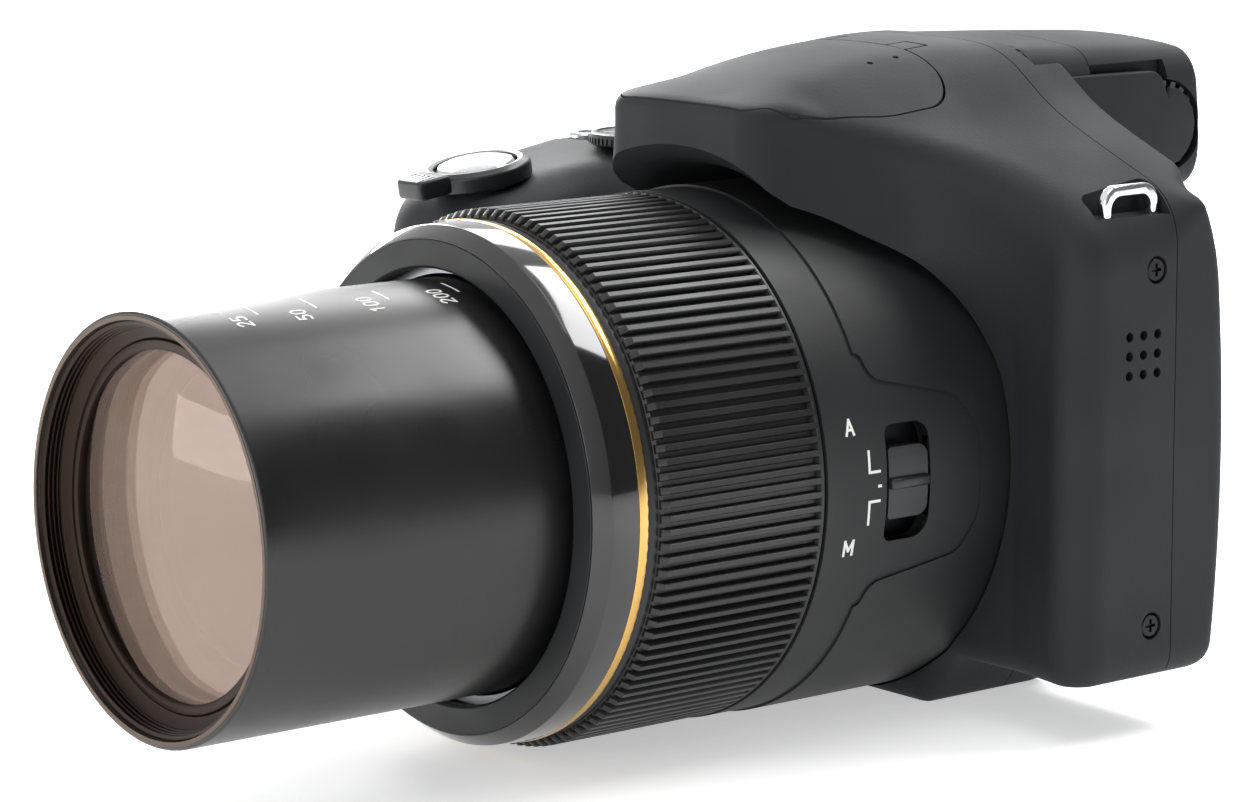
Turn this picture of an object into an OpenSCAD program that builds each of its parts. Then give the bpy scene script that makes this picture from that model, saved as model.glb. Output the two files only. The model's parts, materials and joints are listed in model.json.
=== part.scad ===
// Bridge camera with a long powered zoom lens, a pop-up flash, an eye-level finder and a deep hand grip.
// Millimetres. +Z up, the lens looks along -Y, +X is the camera's left side.
// Origin: mouth of the tripod socket.

/* [Body] */
// Reach of the left wing from the lens axis
wing_x = 49; // [47:0.5:53]
// Reach of the grip side from the lens axis
grip_x = 75.5; // [73:0.5:80]
// Tripod axis to the rear face
rear_y = 17.6; // [16.6:0.2:20]
// Tripod axis to the parting line of the front and rear shells
seam_y = 9; // [8:0.25:10]
// Tripod axis forward to the shoulder beside the lens
shoulder_y = 8; // [7.6:0.2:10]
// Radius of the sweep from the hood's side to the wing
sweep_r = 30; // [27:0.5:32]
// Height of the left wing's underside
wing_z = 7.4; // [6:0.2:9]
// Reach of the raised base from the lens axis towards the wing
plinth_x = 18; // [15:0.5:22]
// Drop from the hood's front edge to the plate around the mode dial
plate_drop = 12; // [10:0.25:13]
// Radius of the wing's front edge
edge_r = 5; // [4:0.25:6]
// Wall of the moulded shells
wall = 2; // [1.6:0.1:2.4]
// Gap around a lid, door or button
fit_gap = 0.3; // [0.2:0.05:0.4]

/* [Hump and hood] */
// Rise of the hump's crown over the hood's front edge
hump_rise = 7; // [5.5:0.25:9]
// Height of the hood's front edge over the fixed barrel
hood_over = 10.6; // [9.6:0.1:12]
// Tripod axis forward to the hood's front
hood_y = 33; // [31:0.5:35]
// Radius of the hood's front corners
hood_r = 4; // [3:0.25:5]

/* [Hand grip] */
// Tripod axis forward to the grip's front
grip_y = 31; // [29:0.5:34]
// Lens axis to the grip's inner side
grip_inner_x = 46; // [45:0.5:48]
// Forward slope of the grip's top, in degrees
grip_tilt = 10; // [6:0.5:14]
// Thickness of the rubber skin
rubber_t = 1.2; // [0.8:0.1:1.6]
// Height of the rubber skin
rubber_h = 46; // [36:1:50]

/* [Lens] */
// Radius of the fixed barrel
barrel_r = 34.9; // [31:0.1:39]
// Gap between the fixed barrel and the plane of the base
base_gap = 0.1; // [0.05:0.05:0.5]
// Tripod axis forward to the nose ring's front
nose_f = 72.1; // [71:0.5:75]
// Tripod axis forward to the fixed barrel's front end
barrel_f = 37.2; // [35.5:0.2:38]
// Tripod axis forward to the front of the lens base
base_f = 7.5; // [7.5:0.1:8]
// Wall of the control ring with its ribs
ring_t = 3.3; // [3:0.1:3.8]
// Wall of the zoom barrel
zoom_wall = 1.4; // [1.2:0.1:1.8]
// Length of the zoom barrel
zoom_len = 64.8; // [63:0.2:64.8]
// How far the zoom barrel stands out of the nose ring
zoom_out = 42.9; // [42.9:0.1:45]
// Wall of the cam barrel
cam_wall = 1.5; // [1.2:0.1:1.8]
// Wall of the guide barrel
guide_wall = 2; // [1.6:0.1:2.2]
// Gap between sliding or turning lens barrels
run_gap = 0.4; // [0.3:0.05:0.5]
// Gap between the nose ring and the zoom barrel
nose_gap = 1.3; // [0.8:0.1:1.6]
// Number of ribs on the control ring
rib_count = 124; // [100:4:132]
// Height of a rib
rib_h = 0.7; // [0.5:0.1:0.9]
// Width of the gold trim ring
gold_w = 1.4; // [1:0.1:1.8]
// Width of the cell round the front element
glass_edge = 3.4; // [3:0.1:4.4]
// Radius of a guide rod
rod_r = 1; // [0.8:0.1:1.2]
// Zoom barrel's inside to the middle of a guide rod
rod_edge = 5; // [4:0.1:6]
// Clearance of a shaft in its hole
shaft_gap = 0.1; // [0.06:0.01:0.12]

/* [Zoom drive] */
// Teeth on the full circle of the cam barrel's gear
ring_teeth = 112; // [104:4:120]
// Teeth on the motor pinion
pinion_teeth = 10; // [9:1:12]
// Angle of the motor around the lens axis, in degrees
motor_angle = 50; // [45:1:55]
// Radius of the motor
motor_r = 4; // [3.5:0.25:5]

/* [Focus switch] */
// Length of the switch slot along the lens
slot_w = 7.3; // [6.5:0.1:8]
// Height of the switch slot
slot_h = 15; // [13:0.25:16]
// Length of the slider across its travel
slider_h = 10.2; // [9:0.1:10.4]
// Tripod axis forward to the middle of the slot
slot_f = 23.7; // [23:0.1:24.5]

/* [Tripod socket] */
// Radius of the tapped hole for a quarter inch thread
thread_r = 2.55; // [2.5:0.05:2.7]
// Depth of the tapped hole
thread_l = 5; // [4.5:0.1:5.2]
// Radius of the socket bush
bush_r = 4.5; // [4:0.1:4.7]

/* [Finder] */
// Half width of the finder's cap
finder_w = 20; // [19:0.25:21]
// Tripod axis to the finder's rear face
finder_y = 43.5; // [42:0.25:46]
// Height of the finder from its underside to the crown
finder_h = 23; // [21.5:0.25:23.5]
// Thickness of the finder's cap
cap_t = 4.2; // [3.6:0.1:5]
// Radius of the dioptre wheel
wheel_r = 6.5; // [6:0.1:7]

/* [Controls] */
// Radius of the shutter button
shutter_r = 5.7; // [5:0.1:6.2]
// Lens axis to the shutter button
shutter_x = 58; // [56:0.5:60]
// Tripod axis forward to the shutter button
shutter_y = 22.5; // [21:0.5:23]
// Width of the zoom lever's ring
lever_w = 1.8; // [1.4:0.1:2.2]
// Radius of the mode dial
dial_r = 9; // [8:0.25:9.5]
// Lens axis to the mode dial
dial_x = 52; // [51:0.5:53]
// Height of the mode dial over its plate
dial_h = 3.3; // [2.8:0.1:4]
// Radius of a small push button
key_r = 2.8; // [2.4:0.1:3]
// How far a push button stands out
key_out = 0.9; // [0.8:0.1:1.2]
// Outer radius of the four-way ring
pad_r = 8.5; // [7.5:0.25:9]
// Radius of the confirm button
ok_r = 3.8; // [3.2:0.1:4.4]

/* [Rear screen] */
// Width of the screen window
screen_w = 63; // [60:0.5:64]
// Height of the screen window
screen_h = 47; // [44:0.5:48]
// Lens axis to the middle of the screen
screen_x = 12.5; // [11.5:0.25:13]

/* [Battery and card] */
// Width of the battery
battery_w = 18; // [16:0.25:18.25]
// Depth of the battery
battery_d = 24; // [22:0.5:25]
// Room over the battery in its bay
battery_room = 5.7; // [4:0.1:8]

/* [Hidden] */
$fn = 64;

// Reach that passes right through the camera
far = 200;
// Overshoot of a cut past the face it opens
cut = 1;
// Clearance of a fixed insert in its seat
seat_gap = 0.05;
// Main heights, all raised from the fixed barrel
lens_z = barrel_r + base_gap;
hood_z = lens_z + barrel_r + hood_over;
hump_z = hood_z + hump_rise;
plate_z = hood_z - plate_drop;
finder_z = hump_z - finder_h;

// Points along an arc from angle a to angle b about a centre
function arc(c, r, a, b, n = 8) =
    [for (i = [0:n]) let(t = a + (b - a) * i / n) c + r * [cos(t), sin(t)]];
// Smooth step from 0 to 1
function ease(t) = let(u = min(1, max(0, t))) u * u * (3 - 2 * u);
// Outline of a rounded rectangle about the origin
function round_rect(w, h, r) = concat(arc([w / 2 - r, h / 2 - r], r, 0, 90, 6),
    arc([r - w / 2, h / 2 - r], r, 90, 180, 6), arc([r - w / 2, r - h / 2], r, 180, 270, 6),
    arc([w / 2 - r, r - h / 2], r, 270, 360, 6));

// Roof of the body: a level ridge that falls to the wing, with the hump's crown over it
ridge_slope = 0.5;
ridge_knee = 22;
ridge_soft = 36;
function ridge_z(x) = let(u = abs(x) - ridge_knee)
    hood_z + ridge_slope - ridge_slope * (u + sqrt(u * u + ridge_soft)) / 2;
crown_y = 6;
crown_lift = 0.6;
function crown_z(y) =
    hump_z - (hump_rise - crown_lift) * pow(max(0, crown_y - y) / (hood_y + crown_y), 2);
crown_w_front = 18;
crown_w_rear = 34;
crown_flare_y = 25;
crown_flare_l = 38;
function crown_w(y) =
    crown_w_front + (crown_w_rear - crown_w_front) * ease((y + crown_flare_y) / crown_flare_l);
function crown_share(x, y) = max(0, 1 - pow(abs(x) / crown_w(y), 4));
function roof_z(x, y) = ridge_z(x) + (crown_z(y) - hood_z - ridge_slope) * crown_share(x, y);

// Plan of the body: hood, sweeps to both sides, left wing, rear face and hand grip
sweep_c = [wing_x - edge_r, -shoulder_y - sweep_r];
sweep_a = 180 - asin((shoulder_y + sweep_r + hood_r - hood_y) / (sweep_r + hood_r));
hood_c = sweep_c + (sweep_r + hood_r) * [cos(sweep_a), sin(sweep_a)];
sweep_cl = [-sweep_c[0], sweep_c[1]];
rear_r = 5;
grip_out_r = 12;
grip_in_r = 7;
gap_r = 5;
gap_x = grip_inner_x - gap_r;
gap_a = acos((sweep_c[0] - gap_x) / sweep_r);
grip_base_y = sweep_cl[1] + sweep_r * sin(gap_a);
function grip_front(inset) = concat(
    arc([grip_out_r - grip_x, grip_out_r - grip_y], grip_out_r - inset, 180, 270),
    arc([-grip_inner_x - grip_in_r, grip_in_r - grip_y], grip_in_r - inset, 270, 360));
function plan_outline() = concat(
    arc(hood_c, hood_r, -90, sweep_a - 180, 6),
    arc(sweep_c, sweep_r, sweep_a, 90, 14),
    arc([wing_x - edge_r, edge_r - shoulder_y], edge_r, -90, 0),
    arc([wing_x - rear_r, rear_y - rear_r], rear_r, 0, 90),
    arc([rear_r - grip_x, rear_y - rear_r], rear_r, 90, 180),
    grip_front(0),
    arc([-gap_x, grip_base_y - gap_r], gap_r, 180, 90),
    arc(sweep_cl, sweep_r, gap_a - 1, 180 - sweep_a, 14),
    arc([-hood_c[0], hood_c[1]], hood_r, 360 - sweep_a, 270, 6));

// Plan below the hood, with a straight shoulder behind the lens
low_z = lens_z + 10;
function low_outline() = concat(
    arc([wing_x - edge_r, edge_r - shoulder_y], edge_r, -90, 0),
    arc([wing_x - rear_r, rear_y - rear_r], rear_r, 0, 90),
    arc([rear_r - grip_x, rear_y - rear_r], rear_r, 90, 180),
    grip_front(0),
    arc([-gap_x, grip_base_y - gap_r], gap_r, 180, 90));

// Section of the body below the roof
foot_r = 3;
side_r = 5.5;
side_a = 63.4;
side_c = [wing_x - side_r, ridge_z(wing_x - side_r * (1 - cos(side_a))) - side_r * sin(side_a)];
plate_r = 6;
function section_outline() = concat(
    [[plinth_x, 0], [plinth_x + wing_z / 2, wing_z]],
    arc([wing_x - foot_r, wing_z + foot_r], foot_r, -90, 0, 4),
    arc(side_c, side_r, 0, side_a),
    [[wing_x - 2 * side_r, plate_z - cut]],
    [[-gap_x, plate_z]],
    arc([plate_r - grip_x, plate_z - plate_r], plate_r, 90, 180),
    arc([foot_r - grip_x, foot_r], foot_r, 180, 270, 4));

// Lens stations, measured forward from the tripod axis
nose_lip = 2;
cam_f = nose_f - nose_lip - 0.6;
gold_f = nose_f - 6.1;
ring_f = gold_f - gold_w - fit_gap;
ring_back_f = barrel_f + fit_gap;
zoom_f = nose_f + zoom_out;
base_t = 2.5;
// Lens radii, from the outside in
ring_out_r = barrel_r - 0.5;
ring_in_r = ring_out_r - ring_t;
guide_out_r = ring_in_r - run_gap;
guide_in_r = guide_out_r - guide_wall;
cam_out_r = guide_in_r - run_gap;
cam_in_r = cam_out_r - cam_wall;
zoom_r = cam_in_r - run_gap;
zoom_in_r = zoom_r - zoom_wall;
glass_r = zoom_in_r - glass_edge;
rod_off = zoom_in_r - rod_edge;
barrel_wall = 2.4;
hole_r = barrel_r + fit_gap;
nose_r = barrel_r - 1.9;
gold_seat_r = nose_r - 0.8;
gold_r = nose_r + 0.2;
// Cells inside the zoom barrel
cell_r = zoom_in_r - run_gap;
zoom_cell_f = zoom_f - zoom_len + 2.8;
zoom_cell_t = 5;
focus_cell_f = 20;
focus_cell_t = 4;
rod_f = zoom_cell_f + 5.5;
element_f = zoom_f - 1.6;
element_t = 7;
second_f = element_f - 8.9;
second_t = 3;

// Gear of the cam barrel and its pinion
tooth_top = 0.38;
tooth_root = 0.5;
pitch_r = cam_out_r - tooth_top - seat_gap;
pinion_pitch_r = pitch_r * pinion_teeth / ring_teeth;
drive_off = pitch_r + pinion_pitch_r;
gear_t = 3;
gear_f = base_f + 0.6;
gear_sector = 140;
gear_shift = 11;

// Flash lid, an oval on the front of the roof
lid_front = hood_y - 1.6;
lid_rear = 1.2;
lid_w = 17.3;
lid_power_front = 2.6;
lid_power_rear = 2;
lid_c = (lid_rear - lid_front) / 2;
lid_l = (lid_rear + lid_front) / 2;
function lid_outline(grow) = [for (t = [0:7.5:352.5])
    let(n = 2 / (t < 180 ? lid_power_rear : lid_power_front))
    [(lid_w + grow) * sign(cos(t)) * pow(abs(cos(t)), n),
    lid_c + (lid_l + grow) * sign(sin(t)) * pow(abs(sin(t)), n)]];
flash_floor_z = lens_z + hole_r + 4.3;
lid_z = flash_floor_z + 3;
pin_y = lid_rear - 1.5;
pin_z = crown_z(pin_y) - 2.2;
pin_r = 0.8;
knuckle_r = 1.4;
knuckle_l = 18.6;
knuckle_relief = 2.2;
pin_seat_l = 1.5;
pin_l = knuckle_l + 2 * (knuckle_relief + pin_seat_l);
lid_swing_r = 2.9;

// Finder
finder_in_w = finder_w - 2.6;
cap_z = hump_z - cap_t;
cap_y = 12;
flange_t = 6.2;
flange_y = finder_y - flange_t;
wheel_y = flange_y - 0.4;
wheel_z = finder_z + 10.1;
wheel_t = 1.2;
wheel_x = finder_in_w + 0.4;
eye_w = 17;
eye_h = 11;
eye_z = wheel_z + 0.4;

// Shutter group, square to the grip's sloping top
slope_y = 0;
function slope_z(y) = plate_z + (y - slope_y) * tan(grip_tilt);
lever_in_r = shutter_r + 0.4;
lever_out_r = lever_in_r + lever_w;
lever_h = 3;
tab_l = 4.4;
tab_w = 7;
shutter_travel = 1;
stem_r = 2;
stem_l = 5;

// Rear keys: place on the rear face
key_travel = 0.6;
key_l = 4;
key_x = screen_x - screen_w / 2 - 12;
key_z = finder_z - 5.5;
video_p = [key_x, key_z];
flash_p = [key_x - 4 * key_r, key_z];
menu_p = [key_x - 1, key_z - 5 * key_r];
play_p = [key_x - 3, lens_z - 20];
display_p = [key_x - 29, lens_z - 20];
pad_p = [key_x - 2 * pad_r, lens_z - 4];
power_p = [8.5 - grip_x, seam_y - 5];
dial_y = seam_y - 5;
key_floor = rear_y - wall - key_travel - 1.4;

// Inside of the shells
grip_in_x = grip_x - wall - 1;
bay_x = grip_inner_x + rubber_t + 1.3;
bay_y = grip_y - 9.5;
bay_top_z = plate_z - 10.5;
room_z = plate_z - 3.5;
room_y = base_f - base_t - 0.5;
// Battery door in the grip's base
door_t = 1.8;
door_x0 = -grip_in_x + 1;
door_x1 = -bay_x - 1.5;
door_y0 = -bay_y + 1.5;
door_y1 = seam_y - 2;
hinge_r = 0.7;
door_hinge_z = door_t - hinge_r;
// Port door on the grip's side
port_y0 = -1;
port_y1 = seam_y - 1.4;
port_z0 = 26;
port_z1 = 46;
port_t = 1.5;
socket_x = -grip_x + port_t + 0.4;
socket_l = 3;
// Strap lugs
lug_l = 9.4;
lug_h = 5.6;
lug_t = 1.6;
lug_y = 1.8;
lug_bar = 1.4;
lug_pocket_l = 12.4;
lug_left_x = wing_x - 2.8;
lug_left_z = room_z + 1.2;
lug_right_x = grip_x - 2.8;
lug_right_z = bay_top_z + 1.6;
// Screws
screw_r = 1.9;
screw_head = 0.8;
screw_shank_r = 0.8;
screw_l = 4;
side_screw_y = 5.4;
side_screw_z = [wing_z + 7.2, plate_z - 7.7];
plate_x0 = -36;
plate_y0 = -4;
plate_y1 = seam_y - 1.5;
plate_t = 1.2;
plate_screws = [[plate_x0 + 4, plate_y0 + 3], [plate_x0 + 4, plate_y1 - 3],
    [plinth_x - 5, plate_y0 + 3], [plinth_x - 5, plate_y1 - 3]];
// Speaker grille
grille_pitch = 2.5;
grille_r = 0.65;
grille_y = 3.2;
grille_z = plate_z - 18.4;
speaker_r = 5.5;
speaker_t = 3;

// Solid of revolution about the lens axis from radius and forward station pairs
module turned(points) {
    translate([0, 0, lens_z]) rotate([90, 0, 0]) rotate_extrude($fn = 96) polygon(points);
}

// Plain tube about the lens axis
module tube(inner, outer, back, front) {
    turned([[inner, back], [outer, back], [outer, front], [inner, front]]);
}

// Box between two corners
module box(low, high) {
    translate(low) cube(high - low);
}

// Outline in the XZ plane carried along Y from y0 to y1
module along_y(points, y0, y1) {
    translate([0, y1, 0]) rotate([90, 0, 0]) linear_extrude(height = y1 - y0) polygon(points);
}

// Cylinder along +Y from a point on the rear face
module rear_rod(place, r, y0, y1) {
    translate([place[0], y1, place[1]]) rotate([90, 0, 0]) cylinder(r = r, h = y1 - y0);
}

// Roof as one closed form over a grid of stations
roof_x0 = -gap_x - 3;
roof_x1 = side_c[0] + side_r * cos(side_a);
roof_mid_x = [-38, -34, -30, -26, -22, -17.5, -12, -6, 0, 6, 12, 17.5, 22, 26, 30, 34, 38];
roof_y0 = -hood_y - cut;
roof_y1 = rear_y + cut;
roof_mid_y = [-28, -23, -18, -12, -6, 0, 6, 12];
roof_low = plate_z - 8.5;
module roof_form() {
    xs = concat([roof_x0], roof_mid_x, [roof_x1]);
    ys = concat([roof_y0], roof_mid_y, [roof_y1]);
    nx = len(xs) - 1;
    ny = len(ys) - 1;
    row = nx + 1;
    top = [for (y = ys) for (x = xs) [x, y, roof_z(x, y)]];
    count = len(top);
    rim = concat([for (i = [0:nx]) i], [for (j = [1:ny]) j * row + nx],
        [for (i = [nx - 1:-1:0]) ny * row + i], [for (j = [ny - 1:-1:1]) j * row]);
    low = [for (k = rim) [top[k][0], top[k][1], roof_low]];
    turns = len(rim);
    cells = [for (j = [0:ny - 1]) for (i = [0:nx - 1]) let(k = j * row + i)
        each [[k, k + row, k + row + 1], [k, k + row + 1, k + 1]]];
    skirt = [for (k = [0:turns - 1]) let(m = (k + 1) % turns)
        each [[rim[k], rim[m], count + m], [rim[k], count + m, count + k]]];
    middle = [(roof_x0 + roof_x1) / 2, (roof_y0 + roof_y1) / 2, roof_low];
    floor_fan = [for (k = [0:turns - 1]) [count + turns, count + k, count + (k + 1) % turns]];
    polyhedron(concat(top, low, [middle]), concat(cells, skirt, floor_fan));
}

// Whole outer body before it is parted
module body_form() {
    difference() {
        intersection() {
            union() {
                translate([0, 0, low_z]) linear_extrude(height = hump_z + cut - low_z)
                    polygon(plan_outline());
                linear_extrude(height = low_z) polygon(low_outline());
            }
            union() {
                along_y(section_outline(), -far / 2, far / 2);
                roof_form();
            }
        }
        translate([-grip_x - cut, slope_y, plate_z]) rotate([grip_tilt, 0, 0])
            translate([0, -far, 0]) cube([grip_x + cut - gap_x, far, far / 4]);
    }
}

// Cylinder square to the grip's top at the shutter, from height a to height b over the surface
module at_shutter() {
    translate([-shutter_x, -shutter_y, slope_z(-shutter_y)]) rotate([grip_tilt, 0, 0]) children();
}

// Countersunk screw along +Z with its head at the bottom
module screw() {
    cylinder(r = screw_r, h = screw_head);
    cylinder(r = screw_shank_r, h = screw_l);
}

// Seat of a screw, with room round it
module screw_seat() {
    translate([0, 0, -cut]) cylinder(r = screw_r + seat_gap, h = screw_head + cut + seat_gap);
    cylinder(r = screw_shank_r + seat_gap, h = screw_l + seat_gap);
}

// Places of the side screws, heads flush with the wing
module at_side_screws() {
    for (z = side_screw_z) translate([wing_x, side_screw_y, z]) rotate([0, -90, 0]) children();
}

// Places of the base screws, heads flush with the base plate
module at_base_screws() {
    for (p = plate_screws) translate([p[0], p[1], 0]) children();
}

// Skin of the hand grip, grown by a clearance where it is cut from the shell
module grip_skin(grow) {
    low = foot_r + 4;
    translate([0, 0, low - grow]) linear_extrude(height = rubber_h + 2 * grow) difference() {
        polygon(concat(grip_front(-grow), [[-grip_inner_x + grow, grip_base_y - gap_r],
            [-grip_x - grow, grip_base_y - gap_r]]));
        polygon(concat(grip_front(rubber_t + grow), [[-grip_inner_x - rubber_t - grow, cut],
            [-grip_x + rubber_t + grow, cut]]));
    }
}

// Front of the body, with the hood, the left wing and the core of the grip
module front_shell() {
    color("#26272a") difference() {
        intersection() {
            body_form();
            box([-far, -far, -cut], [far, seam_y, far]);
        }
        box([-bay_x - cut, -room_y, wall], [plinth_x - wall, seam_y + cut, bay_top_z]);
        box([-bay_x, -room_y, wall], [plinth_x - wall, seam_y + cut, room_z]);
        box([plinth_x - wall - cut, -room_y, wing_z + wall], [wing_x - wall, seam_y + cut, room_z]);
        box([-grip_in_x, -bay_y, wall], [-bay_x, seam_y + cut, bay_top_z]);
        box([-finder_w, pin_y + lid_swing_r + wall, room_z - cut], [finder_w, seam_y + cut, cap_z - wall]);
        tube(0, hole_r, room_y - cut, far);
        // Base plate, socket and battery door
        box([plate_x0 - seat_gap, plate_y0 - seat_gap, -cut],
            [plinth_x - wall + seat_gap, plate_y1 + seat_gap, plate_t]);
        translate([0, 0, -cut]) cylinder(r = bush_r + seat_gap, h = wall + 2 * cut);
        box([door_x0 - fit_gap, door_y0 - fit_gap, -cut],
            [door_x1 + door_hinge_z + fit_gap, door_y1 + fit_gap, wall + cut]);
        at_base_screws() screw_seat();
        // Port window and its door
        box([-far, port_y0 - fit_gap, port_z0 - fit_gap],
            [-grip_x + port_t + fit_gap, port_y1 + fit_gap, port_z1 + fit_gap]);
        box([-far, port_y0 + 1.4, port_z0 + 3], [-grip_in_x + cut, port_y1 - 1.4, port_z1 - 3]);
        // Flash well and hinge
        translate([0, 0, flash_floor_z]) linear_extrude(height = far) polygon(lid_outline(fit_gap));
        translate([-knuckle_l / 2 - knuckle_relief, pin_y, pin_z]) rotate([0, 90, 0])
            cylinder(r = lid_swing_r, h = knuckle_l + 2 * knuckle_relief);
        translate([-pin_l / 2, pin_y, pin_z]) rotate([0, 90, 0]) cylinder(r = pin_r + seat_gap, h = pin_l);
        // Strap lugs, speaker and side screws
        box([lug_left_x - 2.4, lug_y - lug_pocket_l / 2, lug_left_z], [far, lug_y + lug_pocket_l / 2, far]);
        box([-far, lug_y - lug_pocket_l / 2, lug_right_z],
            [-lug_right_x + 2.4, lug_y + lug_pocket_l / 2, far]);
        for (i = [-1:1]) for (j = [-1:1])
            translate([wing_x - wall - cut, grille_y + i * grille_pitch, grille_z + j * grille_pitch])
                rotate([0, 90, 0]) cylinder(r = grille_r, h = wall + 2 * cut);
        at_side_screws() screw_seat();
        // Controls on top
        at_shutter() translate([0, 0, -stem_l - cut]) cylinder(r = stem_r + fit_gap, h = far);
        translate([-dial_x, dial_y, plate_z - stem_l - cut]) cylinder(r = stem_r + shaft_gap, h = far);
        translate([-dial_x, dial_y, plate_z]) cylinder(r = dial_r + fit_gap, h = far);
        translate([power_p[0], power_p[1], plate_z - stem_l - cut]) cylinder(r = key_r + fit_gap, h = far);
        grip_skin(seat_gap);
    }
}

// Rear of the body, with the screen window and the rear keys
module rear_shell() {
    color("#242528") difference() {
        intersection() {
            body_form();
            box([-far, seam_y, -cut], [far, far, far]);
        }
        box([-grip_in_x, 0, wall], [plinth_x - wall, rear_y - wall, bay_top_z]);
        box([plinth_x - wall - cut, 0, wing_z + wall], [wing_x - wall, rear_y - wall, bay_top_z]);
        box([-finder_in_w + wall, 0, bay_top_z - cut], [finder_in_w - wall, rear_y - wall, cap_z - wall]);
        box([-finder_in_w + wall, 0, finder_z + wall], [finder_in_w - wall, far, cap_z - wall]);
        box([-finder_w - fit_gap, cap_y - fit_gap, cap_z - fit_gap], [finder_w + fit_gap, far, far]);
        box([screen_x - screen_w / 2 - seat_gap, 0, lens_z - screen_h / 2 - seat_gap],
            [screen_x + screen_w / 2 + seat_gap, far, lens_z + screen_h / 2 + seat_gap]);
        for (p = [video_p, flash_p, menu_p, play_p, display_p]) rear_rod(p, key_r + fit_gap, seam_y, far);
        rear_rod(pad_p, pad_r + fit_gap, seam_y, far);
        translate([-dial_x, dial_y, plate_z]) cylinder(r = dial_r + fit_gap, h = far);
        box([lug_left_x - 2.4, 0, lug_left_z], [far, lug_y + lug_pocket_l / 2, far]);
    }
}

// Cover under the body, round the tripod socket
module base_plate() {
    color("#2a2b2d") difference() {
        box([plate_x0, plate_y0, 0], [plinth_x - wall, plate_y1, plate_t]);
        translate([0, 0, -cut]) cylinder(r = bush_r + seat_gap, h = wall + 2 * cut);
        at_base_screws() screw_seat();
    }
}

// Metal bush with the tapped tripod hole
module tripod_socket() {
    color("#8d8f93") difference() {
        cylinder(r = bush_r, h = thread_l + 0.6);
        translate([0, 0, -cut]) cylinder(r = thread_r, h = thread_l + cut);
    }
}

// Soft skin over the front of the grip
module grip_rubber() {
    color("#1d1e20") grip_skin(0);
}

// Fixed outer barrel, with the pocket of the switch panel
panel_f0 = slot_f - 12;
panel_f1 = slot_f + 6.1;
panel_h = 25;
panel_t = 1.4;
module panel_block(grow) {
    box([0, -panel_f1 - grow, lens_z - panel_h / 2 - grow],
        [far, -panel_f0 + grow, lens_z + panel_h / 2 + grow]);
}
module fixed_barrel() {
    lip_r = guide_out_r + run_gap;
    color("#2b2c2e") difference() {
        turned([[barrel_r - barrel_wall, base_f - base_t], [barrel_r, base_f - base_t],
            [barrel_r, barrel_f],
            [lip_r, barrel_f], [lip_r, barrel_f - 2], [barrel_r - barrel_wall, barrel_f - 4.4]]);
        intersection() {
            panel_block(seat_gap);
            tube(barrel_r - panel_t - seat_gap, far, panel_f0 - cut, panel_f1 + cut);
        }
        box([0, -slot_f - slot_w / 2, lens_z - slot_h / 2],
            [far, -slot_f + slot_w / 2, lens_z + slot_h / 2]);
        at_pinion() translate([0, 0, -cut])
            cylinder(r = pinion_pitch_r + tooth_top + run_gap, h = gear_t + 2 * cut);
    }
}

// Recessed panel round the focus switch
module switch_panel() {
    color("#1f2022") difference() {
        intersection() {
            tube(barrel_r - panel_t, barrel_r - 0.3, panel_f0, panel_f1);
            panel_block(0);
        }
        box([0, -slot_f - slot_w / 2, lens_z - slot_h / 2],
            [far, -slot_f + slot_w / 2, lens_z + slot_h / 2]);
    }
}

// Three-way slider that runs round the barrel in the slot
module focus_switch() {
    half = slot_w / 2 - fit_gap;
    color("#313236") intersection() {
        union() {
            tube(barrel_r - barrel_wall + fit_gap, barrel_r, slot_f - half, slot_f + half);
            box([0, -slot_f - half, lens_z - 0.8], [barrel_r + 0.5, -slot_f + half, lens_z + 0.8]);
        }
        box([barrel_r - 3.4, -slot_f - half, lens_z - slider_h / 2],
            [far, -slot_f + half, lens_z + slider_h / 2]);
    }
}

// Front ring of the lens housing
module nose_ring() {
    lip_in = zoom_r + nose_gap;
    bore = guide_out_r + shaft_gap;
    color("#141416") turned([[lip_in, nose_f - nose_lip], [lip_in, nose_f], [nose_r - 1.7, nose_f - 0.2],
        [nose_r, nose_f - 2.1], [nose_r + 0.2, gold_f], [gold_seat_r, gold_f],
            [gold_seat_r, gold_f - gold_w],
        [bore, gold_f - gold_w], [bore, cam_f + 0.4], [guide_in_r, cam_f + 0.4],
            [guide_in_r, nose_f - nose_lip]]);
}

// Gold trim between the nose ring and the control ring
module gold_ring() {
    color("#c8a35a") turned([[gold_seat_r + seat_gap, gold_f - gold_w], [gold_r, gold_f - gold_w],
        [gold_r + 0.15, gold_f - gold_w / 2], [gold_r, gold_f], [gold_seat_r + seat_gap, gold_f]]);
}

// Ribbed ring that the left hand turns
module control_ring() {
    band = 1.4;
    root = ring_out_r - rib_h;
    rib_a = 360 / rib_count;
    ribs = [for (i = [0:rib_count - 1]) each [ring_out_r * [cos(i * rib_a), sin(i * rib_a)],
        root * [cos((i + 0.5) * rib_a), sin((i + 0.5) * rib_a)]]];
    color("#232427") difference() {
        union() {
            translate([0, -ring_back_f, lens_z]) rotate([90, 0, 0])
                linear_extrude(height = ring_f - band - ring_back_f) polygon(ribs);
            tube(ring_in_r, root - 0.7, ring_f - band - cut, ring_f);
        }
        tube(0, ring_in_r, ring_back_f - cut, ring_f + cut);
    }
}

// Fixed tube that guides the zoom, with a window for the pinion
module guide_barrel() {
    window = 2 * (pinion_pitch_r + tooth_top + run_gap);
    color("#3a3b3f") difference() {
        tube(guide_in_r, guide_out_r, base_f, cam_f);
        translate([0, 0, lens_z]) rotate([0, -motor_angle, 0])
            box([0, -gear_f - gear_t - run_gap, -window / 2], [far, -base_f + cut, window / 2]);
    }
}

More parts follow.
